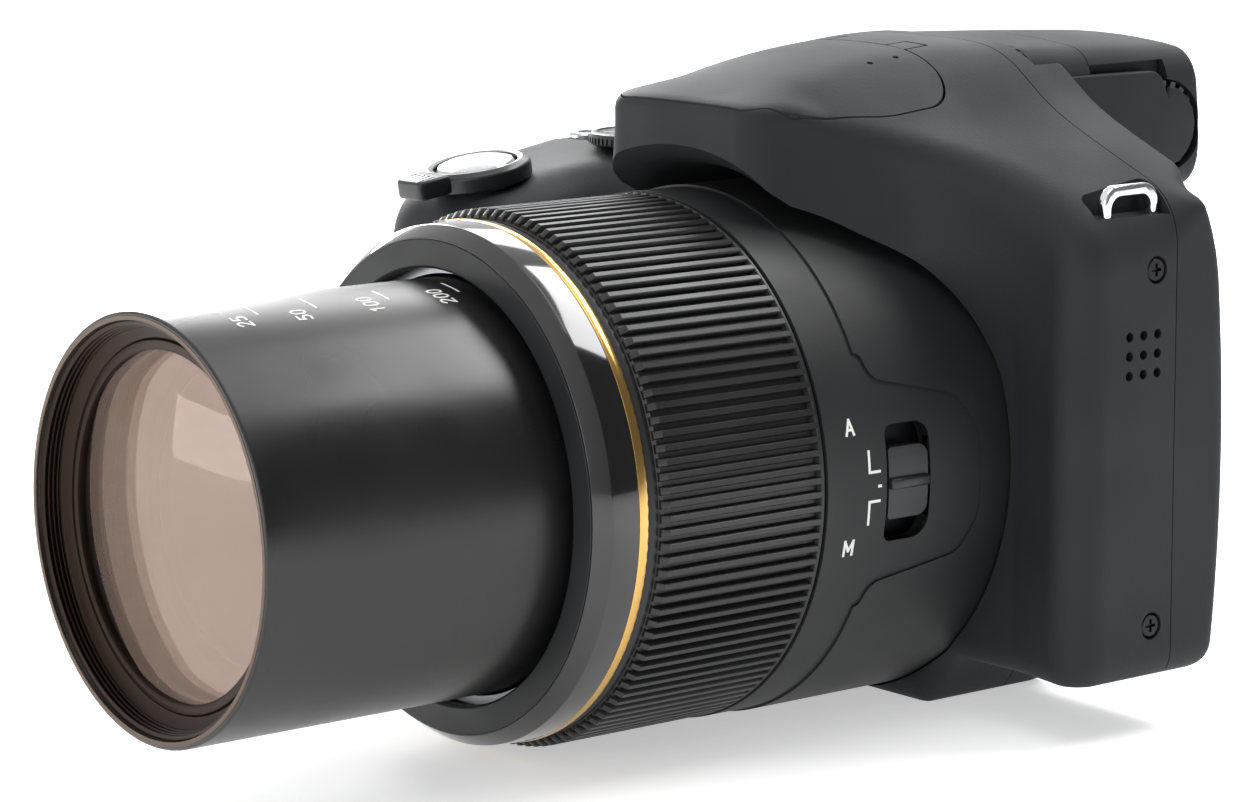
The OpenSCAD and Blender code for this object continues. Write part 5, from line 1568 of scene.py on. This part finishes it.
@dataclass
class Controls:
    """Shutter button in its zoom lever, mode dial and power button on the grip."""

    dial: Point2 = DIAL_PLACE
    dial_r: float = 9.0
    knurls: int = 60
    power: Point2 = POWER_PLACE

    @staticmethod
    def shutter_place() -> Matrix:
        """Place of the shutter on the grip's sloping top."""
        return Matrix.Translation((-58.0, -22.5, 64.53)) @ Matrix.Rotation(GRIP_TILT, 4, "X")

    def build(self) -> None:
        """Makes the shutter button, the lever, the dial and the power button."""
        self.shutter()
        self.mode_dial()
        self.power_button()

    def shutter(self) -> None:
        """Makes the domed shutter button and the lever round it, with ridges on the lever's tab."""
        place = self.shutter_place()
        dome = [(0.0, -4.0), (2.0, -4.0), (2.0, 1.2), (5.4, 1.2), (5.7, 1.5), (5.7, 2.5), (5.35, 3.0),
                (4.2, 3.4), (2.6, 3.72), (0.0, 3.88)]
        button = knob("shutter_cap", dome, place)
        finish_piece(button, SILVER_PAINT, "shutter", ["shutter_button"])
        ring = knob("zoom_lever_ring",
                    rounded([(6.1, 0.3, 0), (7.9, 0.3, 0.3), (7.9, 2.5, 0.6), (6.9, 3.1, 0.4),
                             (6.1, 2.9, 0.2)]), Matrix.Identity(4))
        tab = extrude("lever_tab",
                      rounded([(-3.5, -7.0, 0), (3.5, -7.0, 0), (3.1, -12.2, 1.2), (-3.1, -12.2, 1.2)]),
                      Axis.Z, 0.5, 3.3)
        soften(tab, 0.5)
        carve(ring, tab, Cut.JOIN)
        groove = block("tab_groove", (-2.4, -11.7, 3.0), (-2.0, -8.8, 4.0))
        repeat(groove, KEY_ABS, 5, (-2.2, -10.2, 3.5), step=(1.1, 0.0, 0.0))
        carve(ring, groove)
        shift(ring, place)
        finish_piece(ring, KEY_ABS, "lever", ["zoom_lever"])

    def mode_dial(self) -> None:
        """Makes the knurled dial with plain figures on its top."""
        x, y = self.dial
        r = self.dial_r
        place = Matrix.Translation((x, y, PLATE_Z))
        dial = knob("mode_dial_disc", [
            (0.0, -5.0), (2.0, -5.0), (2.0, 0.3), (r - 0.5, 0.3), (r - 0.25, 0.6), (r - 0.25, 1.6),
            (r - 0.5, 2.0), (r - 0.9, 2.18), (r - 1.3, 2.18), (r - 1.5, 1.95),
            (r - 2.6, 1.9), (0.0, 1.9)], place, 96)
        rib = block("dial_rib", (x + r - 0.6, y - 0.17, PLATE_Z + 0.65),
                    (x + r - 0.02, y + 0.17, PLATE_Z + 1.55))
        repeat(rib, KEY_ABS, self.knurls, (x, y, 0.0), turn=(0.0, 0.0, 2 * math.pi / self.knurls))
        join(dial, rib)
        finish_piece(dial, KEY_ABS, "dial", ["mode_dial"])
        lines: list[list[Point2]] = []
        for i in range(8):
            turn = Matrix.Rotation(2 * math.pi * i / 8, 2)
            for stroke in signs(str(i + 1), 1.7, (-0.5, 4.9)):
                lines.append([tuple(turn @ Vector(p)) for p in stroke])
        marks = print_marks("dial_figures", lines, 0.26, lambda u, v, h: (x - u, y - v, PLATE_Z + 1.91 + h))
        finish_piece(marks, WHITE_INK, "dial")

    def power_button(self) -> None:
        """Makes the power button with a plain ring and bar on it."""
        x, y = self.power
        place = Matrix.Translation((x, y, PLATE_Z))
        button = knob("power_cap",
                      [(0.0, -4.4), (KEY_R, -4.4), (KEY_R, 0.5), (2.55, 0.78), (2.0, KEY_OUT - 0.02),
                       (1.2, 0.84), (0.0, 0.8)], place, 48)
        finish_piece(button, SILVER_PAINT, "power", ["power_button"])
        lines = [arc((0.0, 0.0), 1.0, 120, 420, 20), [(0.0, 0.5), (0.0, 1.3)]]
        level = PLATE_Z + KEY_OUT - 0.03
        marks = print_marks("power_sign", lines, 0.22, lambda u, v, h: (x - u, y - v, level + h))
        finish_piece(marks, KEY_ABS, "power")


@dataclass
class RearPanel:
    """Screen, push keys and four-way pad on the rear face."""

    screen: Point2 = SCREEN_PLACE
    screen_size: Point2 = (63.0, 47.0)
    shown_size: Point2 = (57.6, 43.2)
    window_t: float = 1.4
    ok_r: float = 3.8

    def build(self) -> None:
        """Makes the window, the keys and the pad."""
        self.window()
        for name, place in KEY_PLACES.items():
            self.key(name, place)
        self.pad()

    @staticmethod
    def facing(place: Point2) -> Matrix:
        """Turns a knob so that it faces backwards at x and z."""
        return Matrix.Translation((place[0], REAR_Y, place[1])) @ Matrix.Rotation(-math.pi / 2, 4, "X")

    @staticmethod
    def ink(name: str, place: Point2, lines: Sequence[Sequence[Point2]], body: str,
            out: float = KEY_OUT) -> None:
        """Prints lines on the rear face or on a key, read from behind.

        Args:
            name: Name of the piece.
            place: x and z of the middle.
            lines: Strokes about the middle.
            body: Body that carries the print.
            out: How far the surface stands behind the rear face.
        """
        x, z = place
        made = print_marks(name, lines, 0.28, lambda u, v, h: (x - u, REAR_Y + out - 0.03 + h, z + v))
        finish_piece(made, WHITE_INK, body)

    def window(self) -> None:
        """Makes the screen's glass with a black rim round the picture."""
        w, h = self.screen_size
        glass = extrude("screen_glass", round_box(w, h, 1.5, self.screen), Axis.Y, REAR_Y - self.window_t,
                        REAR_Y)
        soften(glass, 0.25, 2, 50)
        shown = extrude("picture_room", round_box(*self.shown_size, 0.4, self.screen), Axis.Y, REAR_Y - 0.2,
                        30)
        carve(glass, shown)
        finish_piece(glass, SCREEN_GLASS, "camera", ["screen_window"])
        w, h = self.shown_size
        picture = extrude("screen_picture", round_box(w - 0.05, h - 0.05, 0.4, self.screen), Axis.Y,
                          REAR_Y - 0.21, REAR_Y - 0.03)
        finish_piece(picture, PICTURE, "camera")

    def key(self, name: str, place: Point2) -> None:
        """Makes one domed round key with a plain sign on it.

        Args:
            name: Body of the key.
            place: x and z of its middle.
        """
        cap = knob(name + "_cap",
                   [(0.0, -3.1), (KEY_R, -3.1), (KEY_R, 0.5), (2.6, 0.76), (2.1, KEY_OUT - 0.03),
                    (0.0, KEY_OUT)], self.facing(place), 48)
        node = {"flash_key": "flash_button"}.get(name, name + "_button")
        red = name == "video"
        finish_piece(cap, RED_ACRYLIC if red else KEY_ABS, name, [node])
        lines = {
            "video": [arc((0.0, 0.0), 0.8, 0, 360, 18)],
            "flash_key": [[(0.3, 1.2), (-0.5, -0.1), (0.4, -0.1), (-0.3, -1.3)]],
            "menu": [[(-0.9, 0.7), (0.9, 0.7)], [(-0.9, 0.0), (0.9, 0.0)], [(-0.9, -0.7), (0.9, -0.7)]],
            "play": [[(-0.6, 1.0), (1.0, 0.0), (-0.6, -1.0), (-0.6, 1.0)]],
            "display": [[(-1.1, 0.8), (1.1, 0.8), (1.1, -0.8), (-1.1, -0.8), (-1.1, 0.8)]],
        }[name]
        self.ink(name + "_sign", place, lines, name)

    def pad(self) -> None:
        """Makes the dished four-way ring and the confirm button in its middle."""
        place = self.facing(PAD_PLACE)
        ring = knob("four_way_disc",
                    [(4.1, -3.1), (PAD_R, -3.1), (PAD_R, 0.45), (8.2, 0.8), (7.6, KEY_OUT - 0.02),
                     (6.4, KEY_OUT - 0.05), (5.0, 0.66), (4.3, 0.5), (4.1, 0.3)], place, 72)
        finish_piece(ring, KEY_ABS, "four_way", ["four_way_ring"])
        lines = []
        for i in range(4):
            turn = Matrix.Rotation(math.pi / 2 * i, 2)
            lines.append([tuple(turn @ Vector(p)) for p in ((-0.8, 6.4), (0.0, 7.2), (0.8, 6.4))])
        self.ink("four_way_arrows", PAD_PLACE, lines, "four_way", KEY_OUT - 0.02)
        middle = knob("confirm_cap", [(0.0, -3.1), (self.ok_r, -3.1), (self.ok_r, 0.5), (3.55, 0.78),
                                      (3.0, KEY_OUT - 0.02), (0.0, KEY_OUT - 0.12)], place, 56)
        finish_piece(middle, KEY_ABS, "confirm", ["confirm_button"])
        self.ink("confirm_sign", PAD_PLACE, [arc((0.0, 0.0), 1.3, 0, 360, 24)], "confirm", KEY_OUT - 0.06)


@dataclass
class Fittings:
    """Strap loops, case screws, doors, base plate and tripod bush."""

    plate_low: Point2 = (-36.0, -4.0)
    plate_high: Point2 = (15.8, 7.5)

    def build(self) -> None:
        """Makes every fitting."""
        self.loop("left", 45.7, 66.6, 71.7)
        self.loop("right", -72.9, 60.0, 65.2)
        self.screws()
        self.battery_door()
        self.port_door()
        self.base()

    def loop(self, side: str, x: float, low: float, high: float) -> None:
        """Makes one chrome strap loop: a bent bar whose feet enter the pocket's floor.

        Args:
            side: left or right.
            x: Middle of the bar's thickness.
            low: Height of the feet.
            high: Height of the arch.
        """
        outline = rounded([(-1.5, low, 0), (-1.5, high, 2.6), (8.2, high, 2.6), (8.2, low, 0)], 10)
        bar = extrude("strap_loop_" + side, outline, Axis.X, x - 0.8, x + 0.8)
        carve(bar, extrude("loop_hole",
                           rounded([(-0.1, low - 2, 0), (-0.1, high - 1.6, 1.6), (6.8, high - 1.6, 1.6),
                                    (6.8, low - 2, 0)], 8), Axis.X, x - 3, x + 3))
        soften(bar, 0.5, 4, 50)
        finish_piece(bar, CHROME, "camera", ["strap_lug_" + side])

    def screws(self) -> None:
        """Makes the blackened cross-head screws of the left side and the base."""
        head = knob("case_screw_heads",
                    [(0.0, -3.2), (0.8, -3.2), (0.8, 0.05), (1.55, 0.05), (1.55, 0.6), (1.35, 0.78),
                     (0.0, 0.8)], Matrix.Identity(4), 32)
        for low, high in (((-0.85, -0.2, 0.35), (0.85, 0.2, 2)), ((-0.2, -0.85, 0.35), (0.2, 0.85, 2))):
            carve(head, block("cross", low, high))
        under = twin(head, "base_screw_heads")
        shift(head, Matrix.Translation((48.1, *SIDE_SCREW)) @ Matrix.Rotation(math.pi / 2, 4, "Y"))
        repeat(head, BLACK_STEEL, 2, (48.1, *SIDE_SCREW), step=(0.0, 0.0, SIDE_SCREW_RISE))
        shift(under, Matrix.Translation((*BASE_SCREW, 0.85)) @ Matrix.Rotation(math.pi, 4, "X"))
        repeat(under, BLACK_STEEL, 2, (*BASE_SCREW, 0.85), step=(BASE_SCREW_STEP[0], 0.0, 0.0))
        repeat(under, BLACK_STEEL, 2, (*BASE_SCREW, 0.85), step=(0.0, BASE_SCREW_STEP[1], 0.0))
        join(head, under)
        finish_piece(head, BLACK_STEEL, "camera", ["case_screws"])

    def battery_door(self) -> None:
        """Makes the battery door with finger grooves and its hinge barrel."""
        door = extrude("battery_door_panel",
                       rounded([(-71.5, -20.0, 6.0), (-50.0, -20.0, 0.6), (-50.0, 7.0, 0.6),
                                (-71.5, 7.0, 1.5)]), Axis.Z, 0.0, 1.8)
        soften(door, 0.25, 2, 50)
        carve(door, rod("door_hinge", Axis.Y, (-50.0, 1.1), 0.7, -20.0, 7.0, 24), Cut.JOIN)
        groove = block("door_groove", (-69.6, -8.5, -1.0), (-69.1, -2.5, 0.35))
        repeat(groove, SHELL_ABS, 6, (-69.3, -5.5, 0.0), step=(1.1, 0.0, 0.0))
        carve(door, groove)
        finish_piece(door, SHELL_ABS, "battery_door", ["battery_door"])

    def port_door(self) -> None:
        """Makes the port door with a finger notch and its hinge barrel."""
        door = extrude("port_door_panel", rounded([(-1.0, 26.7, 0.3), (7.6, 26.7, 0.3), (7.6, 46.0, 1.4),
                                                   (-1.0, 46.0, 1.4)]), Axis.X, -75.5, -74.0)
        soften(door, 0.3, 2, 50)
        carve(door, rod("port_hinge", Axis.Y, (-74.75, 26.7), 0.7, -1.0, 7.6, 24), Cut.JOIN)
        groove = block("port_groove", (-80.0, 1.2, 42.2), (-75.2, 5.4, 42.6))
        repeat(groove, SHELL_ABS, 3, (-75.0, 3.3, 42.4), step=(0.0, 0.0, 0.9))
        carve(door, groove)
        finish_piece(door, SHELL_ABS, "port_door", ["port_door"])

    def base(self) -> None:
        """Makes the base plate and the threaded tripod bush."""
        (x0, y0), (x1, y1) = self.plate_low, self.plate_high
        plate = extrude("base_plate_panel",
                        rounded([(x0, y0, 2.0), (x1, y0, 2.0), (x1, y1, 2.0), (x0, y1, 2.0)]),
                        Axis.Z, 0.0, 1.2)
        soften(plate, 0.2, 2, 50)
        carve(plate, rod("bush_hole", Axis.Z, (0.0, 0.0), 4.55, -2, 4))
        seat = rod("screw_seat", Axis.Z, BASE_SCREW, 1.75, -2.0, 4.0, 32)
        repeat(seat, SHELL_ABS, 2, (*BASE_SCREW, 0.0), step=(BASE_SCREW_STEP[0], 0.0, 0.0))
        repeat(seat, SHELL_ABS, 2, (*BASE_SCREW, 0.0), step=(0.0, BASE_SCREW_STEP[1], 0.0))
        carve(plate, seat)
        finish_piece(plate, SHELL_ABS, "camera", ["base_plate"])
        thread = []
        for i in range(7):
            z = 0.5 + 0.7 * i
            thread += [(2.9, z), (3.15, z + 0.2), (3.15, z + 0.3), (2.9, z + 0.5)]
        bush = knob("tripod_bush", [(2.9, 0.0), (4.2, 0.0), (4.5, 0.3), (4.5, 5.6), (2.9, 5.6)]
                    + thread[::-1],
                    Matrix.Identity(4), 48)
        finish_piece(bush, MACHINED, "camera", ["tripod_socket"])


@dataclass
class Studio:
    """Camera, soft lights and a pale floor."""

    eye: Point3 = (410.95, -367.15, 132.73)
    right: Point3 = (0.62213, 0.78290, -0.00456)
    up: Point3 = (-0.12972, 0.10882, 0.98556)
    ahead: Point3 = (-0.77209, 0.61255, -0.16926)
    lens_mm: float = 117.19

    def build(self) -> None:
        """Makes the camera, lamps, world and floor."""
        data = bpy.data.cameras.new("view")
        data.sensor_fit = "HORIZONTAL"
        data.sensor_width = 36.0
        data.lens = self.lens_mm
        data.clip_start = 0.01
        data.clip_end = 20.0
        camera = bpy.data.objects.new("view", data)
        turn = Matrix((self.right, self.up, tuple(-c for c in self.ahead))).transposed().to_4x4()
        camera.matrix_world = Matrix.Translation(Vector(self.eye) * MM) @ turn
        bpy.context.scene.collection.objects.link(camera)
        bpy.context.scene.camera = camera
        bpy.context.scene.view_settings.view_transform = "Standard"
        self.world()
        self.floor()
        self.lamp("overhead_strip", (0.07, 0.62, 0.95), (0.85, 0.3), 8.0)
        self.lamp("top_softbox", (0.15, -0.1, 1.0), (0.7, 0.7), 2.4)
        self.lamp("rear_softbox", (-0.67, 0.62, 0.66), (0.5, 0.35), 2.4)
        self.lamp("side_softbox", (-0.92, 0.3, 0.4), (0.26, 0.4), 8.0)
        self.lamp("front_softbox", (-0.31, -0.5, 0.034), (0.26, 0.06), 0.45)
        self.lamp("right_softbox", (0.35, -1.1, 0.32), (0.5, 0.45), 1.6)

    def lamp(self, name: str, place: Point3, size: Point2, power: float) -> None:
        """Adds a soft lamp aimed at the camera body.

        Args:
            name: Name of the lamp.
            place: Its place in metres.
            size: Width and height of its panel in metres.
            power: Power in watts.
        """
        data = bpy.data.lights.new(name, "AREA")
        data.shape = "RECTANGLE"
        data.size, data.size_y = size
        data.energy = power
        made = bpy.data.objects.new(name, data)
        aim = Vector((-0.01, -0.03, 0.04)) - Vector(place)
        made.matrix_world = Matrix.Translation(place) @ aim.to_track_quat("-Z", "Y").to_matrix().to_4x4()
        bpy.context.scene.collection.objects.link(made)

    def world(self) -> None:
        """Sets a surround that is white on the lens side and darker at the rear left."""
        world = bpy.data.worlds.new("white_room")
        bpy.context.scene.world = world
        tree = bare_tree(world)
        way = add_node(tree, "ShaderNodeTexCoord").outputs["Generated"]
        open_side = add_node(tree, "ShaderNodeVectorMath", {0: way, 1: (-0.8, -0.6, 0.0)},
                             operation="DOT_PRODUCT")
        level = add_node(tree, "ShaderNodeMapRange", {
            "Value": open_side.outputs["Value"], "From Min": -0.7, "From Max": 0.2, "To Min": 0.2,
            "To Max": 1.0})
        light = add_node(tree, "ShaderNodeBackground", {"Color": (1, 1, 1, 1), "Strength": level.outputs[0]})
        add_node(tree, "ShaderNodeOutputWorld", {"Surface": light.outputs[0]})

    def floor(self) -> None:
        """Makes the pale floor: plain paper near the camera body, a lit sweep further out."""
        plane = mesh_object("floor", [(-3000, -3000, 0), (3000, -3000, 0), (3000, 3000, 0), (-3000, 3000, 0)],
                            [[0, 1, 2, 3]])
        white = bpy.data.materials.new("white_paper")
        tree = bare_tree(white)
        place = add_node(tree, "ShaderNodeTexCoord").outputs["Object"]
        grain = add_node(tree, "ShaderNodeTexNoise", {"Vector": place, "Scale": 1 / (2 * MM)})
        bump = add_node(tree, "ShaderNodeBump", {"Height": grain.outputs["Fac"], "Distance": 0.02 * MM})
        away = add_node(tree, "ShaderNodeVectorMath", {0: place, 1: (-0.01, -0.03, 0.0)},
                        operation="DISTANCE")
        glow = add_node(tree, "ShaderNodeMapRange", {
            "Value": away.outputs["Value"], "From Min": 0.06, "From Max": 0.4, "To Min": 0.46,
            "To Max": 0.52},
                        interpolation_type="SMOOTHSTEP")
        paper = add_node(tree, "ShaderNodeBsdfPrincipled", {
            "Base Color": linear("#f4f4f4"), "Roughness": 0.9, "Normal": bump.outputs[0],
            "Specular IOR Level": 0.1, "Emission Color": (1, 1, 1, 1), "Emission Strength": glow.outputs[0]})
        add_node(tree, "ShaderNodeOutputMaterial", {"Surface": paper.outputs[0]})
        plane.data.materials.append(white)


def dress_frame(frame: dict) -> None:
    """Gives every solid of the frame the finish of its material slot.

    Args:
        frame: What the frame loader returned.
    """
    for part in frame["record"]["subparts"]:
        solid = frame["nodes"].get(part["node"])
        if solid is None:
            continue
        made = SLOT_FINISH[part["material_slot"]].material()
        solid.data.materials.clear()
        solid.data.materials.append(made)


def main() -> None:
    """Loads the frame, dresses it and builds the visual pieces in order."""
    logging.basicConfig(level=logging.INFO, format="%(name)s %(message)s")
    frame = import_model()
    Studio().build()
    dress_frame(frame)
    body = Body()
    body.build()
    FlashLid().build(body)
    Lens().build()
    Finder().build()
    Controls().build()
    RearPanel().build()
    Fittings().build()


if __name__ == "__main__":
    main()
